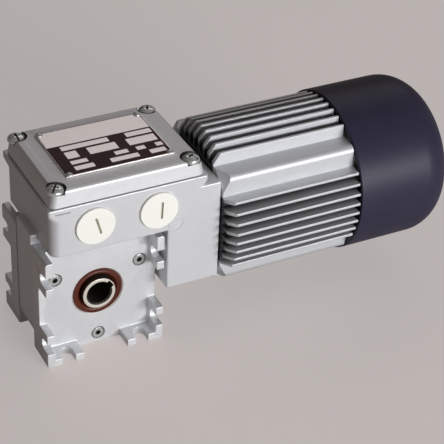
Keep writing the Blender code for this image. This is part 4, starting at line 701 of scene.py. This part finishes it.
def paint_fin_gap_shade(material, gap_shade_colour):
    """Paint shade into the colour deep between the fins."""
    shader = shader_of(material)
    gap = use_group(
        material, gap_shade_group, Axis=MOTOR_AXIS, Deep_Radius=FIN_TIP_RADIUS - GAP_SHADE_FULL_DEPTH,
        Clean_Radius=FIN_TIP_RADIUS - GAP_SHADE_START_DEPTH,
        Corner_Start=(FIN_COUNT - 1) / 2 * FIN_PITCH + GAP_SHADE_CORNER_GAP,
    )
    before = shader.inputs["Base Color"].links[0].from_socket
    colour_with(material, shader, mix_colour(material, gap.outputs["Mask"], gap_shade_colour, before))


silver_paint = grained(
    "silver_casting_paint", (0.745, 0.757, 0.785), (0.705, 0.717, 0.745), 0.47,
    metallic=0.42, cloud=45.0, depth=0.1 * MM,
)
worn(silver_paint, (0.92, 0.93, 0.94))
coated(silver_paint, 0.30, 0.20)
# Dark paint that stands in for the shade in the lid's screw pockets
pocket_shade_paint = grained("painted_pocket_shade", (0.20, 0.20, 0.21), (0.14, 0.14, 0.145), 0.5, metallic=0.2)
bare_edge = grained(
    "bare_machined_edge", (0.97, 0.97, 0.96), (0.93, 0.93, 0.92), 0.50,
    metallic=0.7, grain=1800.0, cloud=200.0, depth=0.01 * MM,
)
fin_aluminium = streaked(
    "drawn_aluminium", (0.69, 0.704, 0.73), (0.63, 0.644, 0.67), 0.50,
    metallic=0.45, stretch=(40.0, 2200.0, 2200.0), depth=0.03 * MM,
)
# Near-black painted shade deep in the fin gaps
paint_fin_gap_shade(fin_aluminium, (0.025, 0.025, 0.028))
shield_aluminium = grained(
    "cast_aluminium", (0.55, 0.56, 0.58), (0.48, 0.49, 0.51), 0.48,
    metallic=0.5, grain=900.0, cloud=60.0, depth=0.06 * MM,
)
rivet_metal = grained(
    "rivet_aluminium", (0.66, 0.68, 0.66), (0.54, 0.55, 0.53), 0.36,
    metallic=0.7, grain=1600.0, cloud=260.0, depth=0.02 * MM,
)
zinc_plate = grained(
    "zinc_plate", (0.78, 0.82, 0.83), (0.68, 0.72, 0.69), 0.24,
    metallic=0.7, grain=1800.0, cloud=260.0, depth=0.02 * MM,
)
# Near-black paint that stands in for the shade in screw sockets, slots and crosses
socket_shade = grained(
    "painted_recess_shade", (0.015, 0.016, 0.018), (0.03, 0.03, 0.03), 0.6,
    metallic=0.3, cloud=300.0, depth=0.02 * MM,
)
shaft_steel = streaked(
    "ground_shaft_steel", (0.88, 0.85, 0.77), (0.78, 0.74, 0.65), 0.34,
    metallic=0.4, stretch=(3000.0, 60.0, 3000.0),
)
# Dark steel for the shaft's walls, bore and keyway
dark_steel = streaked(
    "dark_shaft_steel", (0.075, 0.067, 0.055), (0.045, 0.040, 0.034), 0.40,
    metallic=0.6, stretch=(60.0, 1800.0, 60.0),
)
bearing_steel = streaked(
    "ground_bearing_steel", (0.62, 0.62, 0.63), (0.50, 0.50, 0.52), 0.28,
    metallic=1.0, stretch=(60.0, 2500.0, 2500.0),
)
wheel_bronze = streaked(
    "cut_bronze", (0.62, 0.40, 0.16), (0.48, 0.30, 0.12), 0.32,
    metallic=1.0, stretch=(900.0, 200.0, 900.0), depth=0.02 * MM,
)
sheet_steel = grained(
    "stacked_sheet_steel", (0.20, 0.20, 0.21), (0.30, 0.30, 0.31), 0.5,
    metallic=0.8, grain=2400.0, cloud=80.0, depth=0.05 * MM,
)
copper_wire = grained(
    "varnished_copper", (0.50, 0.18, 0.06), (0.36, 0.12, 0.04), 0.35,
    metallic=0.8, grain=2600.0, cloud=200.0, depth=0.1 * MM,
)
seal_rubber = grained(
    "brown_seal_rubber", (0.105, 0.020, 0.009), (0.080, 0.015, 0.007), 0.38, grain=1200.0, cloud=120.0
)
gasket_rubber = grained("grey_gasket_rubber", (0.30, 0.30, 0.30), (0.25, 0.25, 0.25), 0.7)
hood_plastic = grained(
    "dark_moulded_plastic", (0.029, 0.027, 0.053), (0.034, 0.031, 0.059), 0.42, grain=2600.0, cloud=60.0
)
dull(hood_plastic, 0.22)
fan_plastic = grained(
    "black_fan_plastic", (0.02, 0.02, 0.022), (0.03, 0.03, 0.032), 0.5,
    grain=1800.0, cloud=60.0, depth=0.03 * MM,
)
plug_plastic = grained(
    "white_plug_plastic", (0.96, 0.96, 0.90), (0.93, 0.93, 0.87), 0.42,
    grain=900.0, cloud=80.0, depth=0.03 * MM,
)
# Olive-grey paint that stands in for the shade in the plugs' slots
plug_shade = grained(
    "painted_plug_slot_shade", (0.42, 0.40, 0.30), (0.34, 0.32, 0.24), 0.6,
    grain=900.0, cloud=200.0, depth=0.03 * MM,
)
terminal_plastic = grained(
    "pale_terminal_plastic", (0.80, 0.80, 0.76), (0.72, 0.72, 0.68), 0.5, grain=900.0, depth=0.03 * MM
)
plate_metal = streaked(
    "bare_plate_metal", (0.98, 0.94, 0.91), (0.93, 0.89, 0.86), 0.31,
    metallic=0.75, stretch=(2400.0, 30.0, 2400.0),
)
plate_print = grained(
    "brown_plate_print", (0.070, 0.030, 0.033), (0.060, 0.025, 0.028), 0.55,
    grain=900.0, cloud=120.0, depth=0.01 * MM,
)
dull(plate_print, 0.2)


# Gearbox, terminal box and flange

def gearbox_outline(inset, top):
    """Square above, large rounding at the lower corners, as (x, z)."""
    half = COVER_HALF - inset
    radius = CASE_CORNER - inset
    return (
        arc(half - radius, -half + radius, radius, -90, 0, 16)
        + [(half, top), (-half, top)]
        + arc(-half + radius, -half + radius, radius, 180, 270, 16)
    )


def box_rings():
    """Terminal box from its underside up: plain walls, then the slope under the rim, then the rim."""
    rim_low = BOX_TOP - RIM_HEIGHT
    heights = (BOX_BOTTOM, rim_low - RIM_TAPER, rim_low, BOX_TOP)
    shapes = ((0, BOX_CORNER), (0, BOX_CORNER), (RIM_PROUD, RIM_CORNER), (RIM_PROUD, RIM_CORNER))
    for height, (proud, corner) in zip(heights, shapes):
        outline = rounded(BOX_LEFT - proud, BOX_RIGHT + proud, BOX_FRONT, BOX_REAR + proud, corner)
        yield at_height(outline, height)


def gearbox_hollows():
    """What is cut from the casting: terminal chamber, wheel room, shaft bores, slit and cast ring."""
    chamber = rounded(
        BOX_LEFT + BOX_WALL, BOX_RIGHT - BOX_WALL, BOX_FRONT + BOX_WALL, BOX_REAR - BOX_WALL,
        TERMINAL_CORNER,
    )
    reach = CASE_HALF_DEPTH + MM
    slit_top = BOX_TOP - SLIT_BELOW
    slit_left = BOX_LEFT + SLIT_LEFT
    inner, outer = CAST_MARK_RADIUS - CAST_MARK_LINE, CAST_MARK_RADIUS
    over, floor = BOX_FRONT - MM, BOX_FRONT + CAST_MARK_DEPTH
    ring = [(inner, over), (outer, over), (outer, floor), (inner, floor)]
    return (
        prism("terminal_chamber", chamber, "Z", TERMINAL_FLOOR, BOX_TOP + MM),
        rod("wheel_room", WHEEL_ROOM_RADIUS, "Y", -reach, reach, steps=96),
        shaft_bores(),
        block(
            "slit", (slit_left, over, slit_top - SLIT_WIDTH),
            (slit_left + SLIT_LENGTH, BOX_FRONT + SLIT_DEPTH, slit_top),
        ),
        turned("mark", ring, "Y", CAST_MARK_PLACE, steps=64),
    )


def make_gearbox():
    """One casting: gear case with its rebate, terminal box, motor flange and the neck between them."""
    top = BOX_BOTTOM + BOX_WALL
    body = prism(
        "gearbox_casting", gearbox_outline(0, top), "Y", -CASE_HALF_DEPTH, CASE_HALF_DEPTH - REBATE_WIDTH
    )
    soften(body, CASE_EDGE)
    land = prism("land", gearbox_outline(REBATE_DEPTH, top - MM), "Y", 0, CASE_HALF_DEPTH)
    box = soften(loft("box", list(box_rings())), BOX_EDGE)
    flange = block(
        "flange", (FLANGE_LEFT, BOX_FRONT, FLANGE_BOTTOM), (FLANGE_RIGHT, BOX_REAR, FLANGE_TOP)
    )
    soften(flange, FLANGE_EDGE, segments=4)
    neck_half = CASE_HALF_DEPTH - NECK_INSET
    neck = block(
        "neck",
        (COVER_HALF - NECK_IN_CASE, -neck_half, NECK_BOTTOM),
        (FLANGE_LEFT + NECK_IN_FLANGE, neck_half, BOX_BOTTOM + MM),
    )
    join(body, land, box, flange, neck)
    cut(body, *gearbox_hollows())
    flatten(body)
    finish(body, silver_paint, replaces=["gear_case"])


def shaft_bores():
    """Stepped bore for the worm, its seal and bearings, and the cavity in the flange's face."""
    seal_low, seal_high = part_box("motor_shaft_seal")
    front_low, front_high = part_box("front_motor_bearing_outer_ring")
    nose_low, nose_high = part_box("worm_nose_bearing_outer_ring")
    mouth = FLANGE_RIGHT + MM
    cavity = BOX_REAR - CAVITY_WALL
    floor = FLANGE_RIGHT - CAVITY_DEPTH
    bearing = front_high.y + BORE_GAP
    relief = bearing + BORE_RELIEF
    seal = seal_high.y + BORE_GAP
    worm = nose_high.y + BORE_GAP
    profile = [
        (0, mouth), (cavity, mouth), (cavity, floor), (relief, floor),
        (relief, front_high.x), (bearing, front_high.x), (bearing, front_low.x - BORE_GAP),
        (seal, front_low.x - BORE_GAP), (seal, seal_low.x - BORE_GAP),
        (worm, seal_low.x - BORE_GAP), (worm, nose_low.x - BORE_GAP), (0, nose_low.x - BORE_GAP),
    ]
    return turned("shaft_bores", profile, "X", MOTOR_AXIS)


# Covers with their mounting legs

def leg_gap_outline():
    """Cross between the four corner legs, as (x, z)."""
    far = COVER_HALF + MM
    inner = COVER_HALF - LEG_WALL
    end = COVER_HALF - LEG_REACH
    right = [
        (end, -far), (end, -inner), (inner, -inner), (inner, -end), (far, -end), (far, end),
        (inner, end), (inner, far),
    ]
    return right + [(-u, v) for u, v in reversed(right)]


def slot_shape(side):
    """Slot with a round bottom, open at the legs' ends, as (across, y)."""
    half = SLOT_WIDTH / 2
    bottom = LEG_END - SLOT_DEPTH + half
    end = LEG_END + MM
    shape = [(-half, end)] + arc(0, bottom, half, 180, 360, 20) + [(half, end)]
    return [(u, side * v) for u, v in shape]


def make_cover(prefix, side):
    """Square plate with slotted corner legs, a seal pocket and three sunk screw seats."""
    outline = rounded(-COVER_HALF, COVER_HALF, -COVER_HALF, COVER_HALF, COVER_CORNER, 4)
    cover = prism(f"{prefix}_cover_casting", outline, "Y", *ordered(side, COVER_BACK, LEG_END))
    tools = [prism("gap", leg_gap_outline(), "Y", *ordered(side, COVER_FACE, LEG_END + MM))]
    reach = COVER_HALF + MM
    centre = COVER_HALF - SLOT_INSET
    for shift in (-centre, centre):
        across = [(v, u + shift) for u, v in slot_shape(side)]
        upright = [(u + shift, v) for u, v in slot_shape(side)]
        tools.append(prism("side_slot", across, "X", -reach, reach))
        tools.append(prism("foot_slot", upright, "Z", -reach, -COVER_HALF + LEG_WALL + MM))
    cut(cover, *tools)
    flatten(cover)
    soften(cover, COVER_EDGE)
    over = COVER_FACE + MM
    back = COVER_BACK - MM
    pocket = SEAL_RADIUS + SEAL_POCKET_GAP
    mouth = pocket + SEAL_POCKET_CHAMFER
    chamfer_foot = COVER_FACE - SEAL_POCKET_CHAMFER
    profile = [
        (0, back), (pocket, back), (pocket, chamfer_foot), (mouth, COVER_FACE), (mouth, over), (0, over)
    ]
    holes = [turned("seal_pocket", on_side(side, profile), "Y", steps=128)]
    floor = COVER_FACE - SINK_DEPTH
    sink_mouth = SINK_RADIUS + SINK_CHAMFER
    profile = [
        (0, floor), (SINK_RADIUS, floor), (SINK_RADIUS, COVER_FACE - SINK_CHAMFER),
        (sink_mouth, COVER_FACE), (sink_mouth, over), (0, over),
    ]
    for number in (1, 2, 3):
        centre = middle_of(f"{prefix}_cover_screw_{number}")
        holes.append(turned("sink", on_side(side, profile), "Y", (centre.x, 0, centre.z), steps=48))
    cut(cover, *holes)
    flatten(cover)
    finish(cover, silver_paint, replaces=[f"{prefix}_cover"])
    repaint(
        cover, bare_edge,
        lambda p: chamfer_foot < abs(p.y) < COVER_FACE - NEAR and pocket < off_axis(p, "Y") < mouth,
    )


def make_cap_screw(name, side):
    """Socket head screw with a rounded rim and painted shade in its hexagon socket."""
    low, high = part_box(name)
    centre = middle_of(name)
    place = (centre.x, 0, centre.z)
    top = max(abs(low.y), abs(high.y))
    head = (high.x - low.x) / 2
    seat = top - CAP_HEIGHT
    bend = 0.3 * CAP_EDGE
    profile = [
        (0, seat), (head, seat), (head, top - CAP_EDGE), (head - bend, top - bend),
        (head - CAP_EDGE, top), (0, top),
    ]
    screw = turned(f"{name}_head", on_side(side, profile), "Y", place, steps=48)
    floor = top - CAP_SOCKET_DEPTH
    socket = CAP_SOCKET_WIDTH / math.sqrt(3)
    cut(screw, rod("socket", socket, "Y", *ordered(side, floor, top + MM), place, steps=6))
    finish(screw, zinc_plate, replaces=[name])
    # Painted shade in the hexagon socket
    repaint(
        screw, socket_shade,
        lambda p: floor - NEAR < abs(p.y) < top - UNSHADED_RIM and off_axis(p, "Y", centre) < socket + NEAR,
    )


def make_oil_seal(prefix, side):
    """Rubber covered seal: flat rim, a shallow groove and the sunken lip round the shaft."""
    lip = SHAFT_RADIUS + SEAL_LIP_GAP
    back = SEAL_FACE - SEAL_DEPTH
    profile = [(SEAL_RADIUS, back)]
    profile += [(SEAL_RADIUS - inset * MM, SEAL_FACE - depth * MM) for inset, depth in SEAL_STEPS]
    profile += [
        (lip + SEAL_LIP_EDGE, SEAL_FACE - SEAL_LIP_TOP), (lip, SEAL_FACE - SEAL_LIP_BOTTOM), (lip, back)
    ]
    seal = turned(f"{prefix}_seal_ring", on_side(side, profile), "Y", steps=128)
    finish(seal, seal_rubber, replaces=[f"{prefix}_oil_seal"])


def make_hollow_shaft():
    """Tube with chamfered ends and a keyway along the whole bore."""
    mouth = SHAFT_BORE + BORE_CHAMFER
    profile = []
    for side in (-1, 1):
        end = side * SHAFT_END
        points = [
            (SHAFT_BORE, end - side * BORE_CHAMFER_DEPTH),
            (SHAFT_BORE + BORE_CHAMFER * 0.85, end - side * 0.1 * MM), (mouth, end),
            (SHAFT_RADIUS - SHAFT_EDGE, end),
            (SHAFT_RADIUS - SHAFT_EDGE * 0.3, end - side * SHAFT_EDGE * 0.3),
            (SHAFT_RADIUS, end - side * SHAFT_EDGE),
        ]
        profile += points if side < 0 else reversed(points)
    shaft = turned("hollow_shaft_tube", profile, "Y", steps=128)
    half = KEY_WIDTH / 2
    key = block(
        "key",
        (KEY_INNER_END, -SHAFT_END - MM, -half), (SHAFT_BORE + KEY_DEPTH, SHAFT_END + MM, half),
    )
    key.data.transform(Matrix.Rotation(math.radians(KEY_TURN), 4, "Y"))
    cut(shaft, key)
    # Dark steel all over the tube, with only its end faces bright ground steel
    finish(shaft, dark_steel, OUTPUT, ["hollow_output_shaft"], smooth=30)
    repaint(shaft, shaft_steel, lambda p: abs(p.y) > SHAFT_END - SHAFT_BRIGHT_END)


# Lid, plate and plugs

def lid_outline(inset, height):
    """Outline of the lid at one height, drawn in by its draft and the inset."""
    rise = (height - LID_BOTTOM) / (LID_TOP - LID_BOTTOM)
    ends = LID_END_DRAFT * rise + inset
    sides = LID_SIDE_DRAFT * rise + inset
    corner = LID_CORNER - LID_SIDE_DRAFT * rise - inset / 2
    outline = rounded(LID_LEFT + ends, LID_RIGHT - ends, BOX_FRONT + sides, BOX_REAR - sides, corner, 12)
    return at_height(outline, height)


def make_lid():
    """Cast lid with a rounded top edge, four screw pockets and a thin lip over the gasket."""
    foot = LID_BOTTOM - LID_LIP
    rings = [lid_outline(LID_FOOT_EDGE, foot), lid_outline(0, foot + LID_FOOT_EDGE)]
    for turn in range(0, 91, 15):
        angle = math.radians(turn)
        inset = LID_ROUNDING * (1 - math.cos(angle))
        rings.append(lid_outline(inset, LID_TOP - LID_ROUNDING * (1 - math.sin(angle))))
    lid = loft("lid_casting", rings)
    tools = []
    floor = LID_TOP - POCKET_DEPTH
    screws = [middle_of(f"lid_screw_{number}") for number in (1, 2, 3, 4)]
    for centre in screws:
        place = (centre.x, centre.y, 0)
        tools.append(rod("pocket", POCKET_RADIUS, "Z", floor, LID_TOP + MM, place, steps=64))
    tools.append(prism("hollow", box_inset(LID_WALL, LID_HOLLOW_CORNER), "Z", foot - MM, floor - LID_ROOF))
    seat = box_inset(LID_LIP_WALL, LID_CORNER - LID_LIP_WALL)
    tools.append(prism("gasket_seat", seat, "Z", foot - MM, LID_BOTTOM))
    cut(lid, *tools)
    flatten(lid)
    soften(lid, LID_EDGE, segments=2, angle=55)
    finish(lid, silver_paint, replaces=["terminal_box_lid"])
    # Painted shade on the walls and floors of the screw pockets, below their bright rim
    reach = POCKET_RADIUS + 0.1 * MM
    repaint(
        lid, pocket_shade_paint,
        lambda p: floor - 0.1 * MM < p.z < LID_TOP - POCKET_UNSHADED_RIM
        and min(off_axis(p, "Z", centre) for centre in screws) < reach,
    )


def make_lid_screw(number):
    """Pan head with a slot and a cross in its crown."""
    name = f"lid_screw_{number}"
    low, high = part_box(name)
    centre = middle_of(name)
    rim = (high.x - low.x) / 2
    top = high.z
    seat = top - PAN_HEIGHT
    shoulder = seat + PAN_SKIRT
    crown = top - seat - PAN_SKIRT
    profile = [(0, seat), (rim - 0.2 * MM, seat), (rim, seat + 0.2 * MM), (rim, shoulder)]
    for turn in (18, 36, 52, 66, 78, 86):
        angle = math.radians(turn)
        profile.append((rim * math.cos(angle) ** 0.7, shoulder + crown * math.sin(angle)))
    profile.append((0, top))
    screw = turned(f"{name}_head", profile, "Z", (centre.x, centre.y, 0), steps=64)
    half = PAN_SLOT_WIDTH / 2
    slot = block("slot", (-rim - MM, -half, top - PAN_SLOT_DEPTH), (rim + MM, half, top + MM))
    half_width, half_length = PAN_CROSS_WIDTH / 2, PAN_CROSS_LENGTH / 2
    cross = block(
        "cross", (-half_width, -half_length, top - PAN_CROSS_DEPTH), (half_width, half_length, top + MM)
    )
    turn = Matrix.Rotation(math.radians(PAN_FIRST_TURN + PAN_TURN_STEP * number), 4, "Z")
    for tool in (slot, cross):
        tool.data.transform(Matrix.Translation((centre.x, centre.y, 0)) @ turn)
    cut(screw, slot, cross)
    flatten(screw)
    soften(screw, 0.1 * MM, segments=2, angle=40)
    finish(screw, zinc_plate, replaces=[name])
    # Painted shade in the slot and the cross
    repaint(
        screw, socket_shade,
        lambda p: top - PAN_CROSS_DEPTH - 0.1 * MM < p.z < top - PAN_SLOT_DEPTH + UNSHADED_RIM
        and off_axis(p, "Z", centre) < rim * 0.72,
    )


def make_gasket():
    edge = LID_LIP_WALL + GASKET_GAP
    gasket = prism("gasket_strip", box_inset(edge, GASKET_CORNER), "Z", GASKET_BOTTOM, GASKET_TOP)
    hole = box_inset(LID_WALL, GASKET_HOLE_CORNER)
    cut(gasket, prism("hole", hole, "Z", GASKET_BOTTOM - MM, GASKET_TOP + MM))
    finish(gasket, gasket_rubber, replaces=["lid_gasket"])


def make_plug(name):
    """Round plastic plug with a slot for a screwdriver."""
    centre = middle_of(name)
    back = BOX_FRONT - PLUG_GAP
    front = back - PLUG_THICKNESS
    profile = [(0, back), (PLUG_RADIUS - 0.2 * MM, back), (PLUG_RADIUS, back - 0.2 * MM)]
    profile += arc(PLUG_RADIUS - PLUG_EDGE, front + PLUG_EDGE, PLUG_EDGE, 0, -90, 6)
    profile.append((0, front))
    plug = turned(f"{name}_head", profile, "Y", (centre.x, 0, centre.z))
    half = PLUG_SLOT_WIDTH / 2
    run = PLUG_SLOT_LENGTH / 2 - half
    shape = arc(0, run, half, 0, 180, 8) + arc(0, -run, half, 180, 360, 8)
    floor = front + PLUG_SLOT_DEPTH
    slot = prism("slot", shape, "Y", front - MM, floor)
    turn = Matrix.Rotation(math.radians(PLUG_TURNS[name]), 4, "Y")
    slot.data.transform(Matrix.Translation((centre.x + PLUG_SLOT_SHIFT, 0, centre.z)) @ turn)
    cut(plug, slot)
    flatten(plug)
    soften(plug, 0.12 * MM, segments=2, angle=40)
    finish(plug, plug_plastic, replaces=[name])
    # Painted shade in the slot
    reach = PLUG_SLOT_LENGTH / 2 + half + PLUG_SLOT_SHIFT
    repaint(
        plug, plug_shade,
        lambda p: front + UNSHADED_RIM < p.y < floor + NEAR and off_axis(p, "Y", centre) < reach,
    )


def make_nameplate():
    """Bare metal sheet under a dark print that leaves a blank strip and blank boxes."""
    low, high = PLATE_LOW, PLATE_HIGH
    face = high.z - PRINT_DEPTH
    sheet = block("nameplate_sheet", low, (high.x, high.y, face))
    soften(sheet, PLATE_EDGE, segments=2)
    finish(sheet, plate_metal, replaces=["nameplate"])

    left, right = low.x + PLATE_MARGIN, high.x - PRINT_RIGHT
    bottom, top = low.y + PRINT_BOTTOM, high.y - PLATE_MARGIN
    under, over = face - PRINT_DEPTH, high.z
    ink = block("nameplate_print", (left, bottom, under), (right, top, over))
    strip_low = (left + PLATE_LINE, low.y + PRINT_TOP, under - MM)
    blanks = [block("strip", strip_low, (right - PLATE_LINE, top - PLATE_LINE, over + MM))]
    for row_low, row_high, boxes in BLANK_ROWS:
        for start, end in boxes:
            corner = (low.x + start * MM, low.y + row_low * MM, under - MM)
            blanks.append(block("blank", corner, (low.x + end * MM, low.y + row_high * MM, over + MM)))
    cut(ink, *blanks)
    finish(ink, plate_print)


def make_rivet(number):
    """Low round head on the nameplate's corner."""
    name = f"nameplate_rivet_{number}"
    low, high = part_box(name)
    centre = middle_of(name)
    radius = (high.x - low.x) / 2
    seat = PLATE_HIGH.z
    rise = high.z - seat
    profile = [(0, seat), (radius, seat)]
    for turn in range(15, 90, 15):
        angle = math.radians(turn)
        profile.append((radius * math.cos(angle), seat + rise * math.sin(angle)))
    profile.append((0, high.z))
    rivet = turned(f"{name}_head", profile, "Z", (centre.x, centre.y, 0), steps=48)
    finish(rivet, rivet_metal, replaces=[name])


# Motor

def fin_outline(side_turn):
    """One side's fins and the corner beyond them, as (y, z) from the motor axis."""
    tip_half, root_half = FIN_TIP / 2, FIN_ROOT / 2
    points = []
    for number in range(FIN_COUNT):
        offset = (number - (FIN_COUNT - 1) / 2) * FIN_PITCH
        tip = math.sqrt(FIN_TIP_RADIUS**2 - offset**2)
        points.append((FRAME_HALF, offset - root_half))
        points += arc(tip - FIN_EDGE, offset - tip_half + FIN_EDGE, FIN_EDGE, -90, 0, 3)
        points += arc(tip - FIN_EDGE, offset + tip_half - FIN_EDGE, FIN_EDGE, 0, 90, 3)
        points.append((FRAME_HALF, offset + root_half))
    corner = FRAME_HALF - CORNER_ROUNDING
    points += arc(corner, corner, CORNER_ROUNDING, 0, 90, 8)
    turn = math.radians(side_turn)
    return [
        (u * math.cos(turn) - v * math.sin(turn), u * math.sin(turn) + v * math.cos(turn))
        for u, v in points
    ]


def make_frame():
    """Finned casing: fins on all four sides inside a round envelope with a coned left end."""
    outline = []
    for side_turn in (0, 90, 180, 270):
        outline += fin_outline(side_turn)
    casing = prism("finned_casing", outline, "X", FRAME_START, FRAME_END, MOTOR_AXIS)
    wide = FIN_TIP_RADIUS + MM
    slope = CONE_DEPTH / CONE_LENGTH
    small = FIN_TIP_RADIUS - CONE_DEPTH
    profile = [
        (0, FRAME_END + MM), (wide, FRAME_END + MM), (wide, FRAME_START + CONE_LENGTH + MM / slope),
        (small - MM * slope, FRAME_START - MM), (0, FRAME_START - MM),
    ]
    combine(casing, "INTERSECT", [turned("envelope", profile, "X", MOTOR_AXIS, steps=256)])
    cut(casing, rod("bore", FRAME_BORE, "X", FRAME_START - MM, FRAME_END + MM, MOTOR_AXIS, steps=96))
    finish(casing, fin_aluminium, replaces=["motor_frame"], smooth=35)


def make_hood():
    """Thin round hood with a large rounding at its end and rings of slots in the end wall."""
    bend = HOOD_END - HOOD_ROUNDING
    ring = HOOD_RADIUS - HOOD_ROUNDING
    profile = arc(HOOD_RADIUS - HOOD_EDGE, HOOD_START + HOOD_EDGE, HOOD_EDGE, -90, 0, 4)
    profile += arc(ring, bend, HOOD_ROUNDING, 0, 90, 24) + [(0, HOOD_END), (0, HOOD_END - HOOD_WALL)]
    profile += arc(ring, bend, HOOD_ROUNDING - HOOD_WALL, 90, 0, 16)
    profile.append((HOOD_RADIUS - HOOD_WALL, HOOD_START))
    hood = turned("fan_hood", profile, "X", MOTOR_AXIS, steps=160)
    tools = []
    sector = 360 / GRILLE_RIBS
    for row in range(GRILLE_ROWS):
        inner = GRILLE_INNER + row * (GRILLE_SLOT + GRILLE_RING)
        outer = inner + GRILLE_SLOT
        near = math.degrees(GRILLE_RIB / 2 / inner)
        far = math.degrees(GRILLE_RIB / 2 / outer)
        for step in range(GRILLE_RIBS):
            start, end = step * sector, (step + 1) * sector
            shape = arc(0, 0, outer, start + far, end - far, 12)
            shape += arc(0, 0, inner, end - near, start + near, 12)
            tools.append(prism("slot", shape, "X", HOOD_END - 2 * HOOD_WALL, HOOD_END + MM, MOTOR_AXIS))
    cut(hood, *tools)
    flatten(hood)
    finish(hood, hood_plastic, replaces=["fan_cover"])


def dress_inner_nodes():
    """Give the CAD pieces that show only through gaps their own finish."""
    finishes = {
        "worm_wheel": wheel_bronze, "motor_shaft": shaft_steel, "cooling_fan": fan_plastic,
        "rear_end_shield": shield_aluminium, "motor_shaft_seal": seal_rubber,
        "stator_core": sheet_steel, "rotor": sheet_steel, "front_winding": copper_wire,
        "rear_winding": copper_wire, "terminal_block": terminal_plastic,
    }
    for name, piece in nodes.items():
        if "bearing" in name or name in ("wave_spring", "fan_retaining_ring"):
            finishes[name] = bearing_steel
        elif name.startswith("tie_rod"):
            finishes[name] = zinc_plate
        if name in finishes:
            piece.data.materials.clear()
            piece.data.materials.append(finishes[name])


# Stage

def make_stage():
    """Pale floor that shows its own brightness to the camera, under a dim warm sky."""
    bm = bmesh.new()
    bmesh.ops.create_grid(bm, x_segments=1, y_segments=1, size=FLOOR_SIZE)
    floor = link("floor", to_mesh(bm, "floor"), Matrix.Translation((0, 0, -COVER_HALF)))
    material, shader = base_material("pale_floor", FLOOR_COLOUR, 0.8)
    tree = material.node_tree
    path = node(tree, "ShaderNodeLightPath")
    mirrored = maths(tree, "MULTIPLY", path.outputs["Is Glossy Ray"], FLOOR_MIRRORED)
    seen = maths(tree, "MAXIMUM", path.outputs["Is Camera Ray"], mirrored)
    shader.inputs["Emission Color"].default_value = (*FLOOR_GLOW_COLOUR, 1)
    tree.links.new(maths(tree, "MULTIPLY", seen, FLOOR_GLOW), shader.inputs["Emission Strength"])
    floor.data.materials.append(material)
    world = bpy.data.worlds.new("studio")
    scene.world = world
    world.use_nodes = True
    backdrop = world.node_tree.nodes["Background"]
    backdrop.inputs["Color"].default_value = (*SKY_COLOUR, 1)
    backdrop.inputs["Strength"].default_value = SKY_STRENGTH


def add_light(name, direction, distance, size, power, colour):
    """Soft rectangular lamp that faces the object from a direction."""
    lamp = bpy.data.lights.new(name, "AREA")
    lamp.shape = "RECTANGLE"
    lamp.size, lamp.size_y = size
    lamp.energy = power
    lamp.color = colour
    holder = bpy.data.objects.new(name, lamp)
    scene.collection.objects.link(holder)
    away = Vector(direction).normalized()
    holder.location = LIGHT_TARGET + away * distance
    holder.rotation_euler = away.to_track_quat("Z", "Y").to_euler()


def make_camera():
    """Camera from its turn, height and roll round the target."""
    back = Vector((
        math.sin(VIEW_TURN) * math.cos(VIEW_HEIGHT), -math.cos(VIEW_TURN) * math.cos(VIEW_HEIGHT),
        math.sin(VIEW_HEIGHT),
    ))
    right = Vector((math.cos(VIEW_TURN), math.sin(VIEW_TURN), 0))
    up = back.cross(right)
    rolled = right * math.cos(VIEW_ROLL) + up * math.sin(VIEW_ROLL)
    rolled_up = up * math.cos(VIEW_ROLL) - right * math.sin(VIEW_ROLL)
    turn = Matrix((rolled, rolled_up, back)).transposed().to_4x4()
    data = bpy.data.cameras.new("camera")
    data.sensor_width = SENSOR
    data.sensor_height = SENSOR
    data.lens = VIEW_FOCAL_PIXELS / PHOTO_PIXELS * SENSOR
    data.clip_start, data.clip_end = VIEW_CLIP
    camera = bpy.data.objects.new("camera", data)
    scene.collection.objects.link(camera)
    camera.matrix_world = Matrix.Translation(VIEW_TARGET + back * VIEW_DISTANCE) @ turn
    scene.camera = camera


make_camera()
make_stage()
add_light("key", (0.26, -0.95, 0.16), distance=2.2, size=(1.5, 0.5), power=44.5, colour=(0.98, 0.99, 1.0))
add_light("back", (0.45, 0.62, 0.66), distance=2.0, size=(1.4, 0.9), power=3.1, colour=(1.0, 0.95, 0.99))
make_gearbox()
for prefix, side in (("front", -1), ("rear", 1)):
    make_cover(prefix, side)
    make_oil_seal(prefix, side)
    for number in (1, 2, 3):
        make_cap_screw(f"{prefix}_cover_screw_{number}", side)
make_hollow_shaft()
make_lid()
make_gasket()
for number in (1, 2, 3, 4):
    make_lid_screw(number)
    make_rivet(number)
for name in PLUG_TURNS:
    make_plug(name)
make_nameplate()
make_frame()
make_hood()
dress_inner_nodes()

scene.view_settings.view_transform = "Standard"
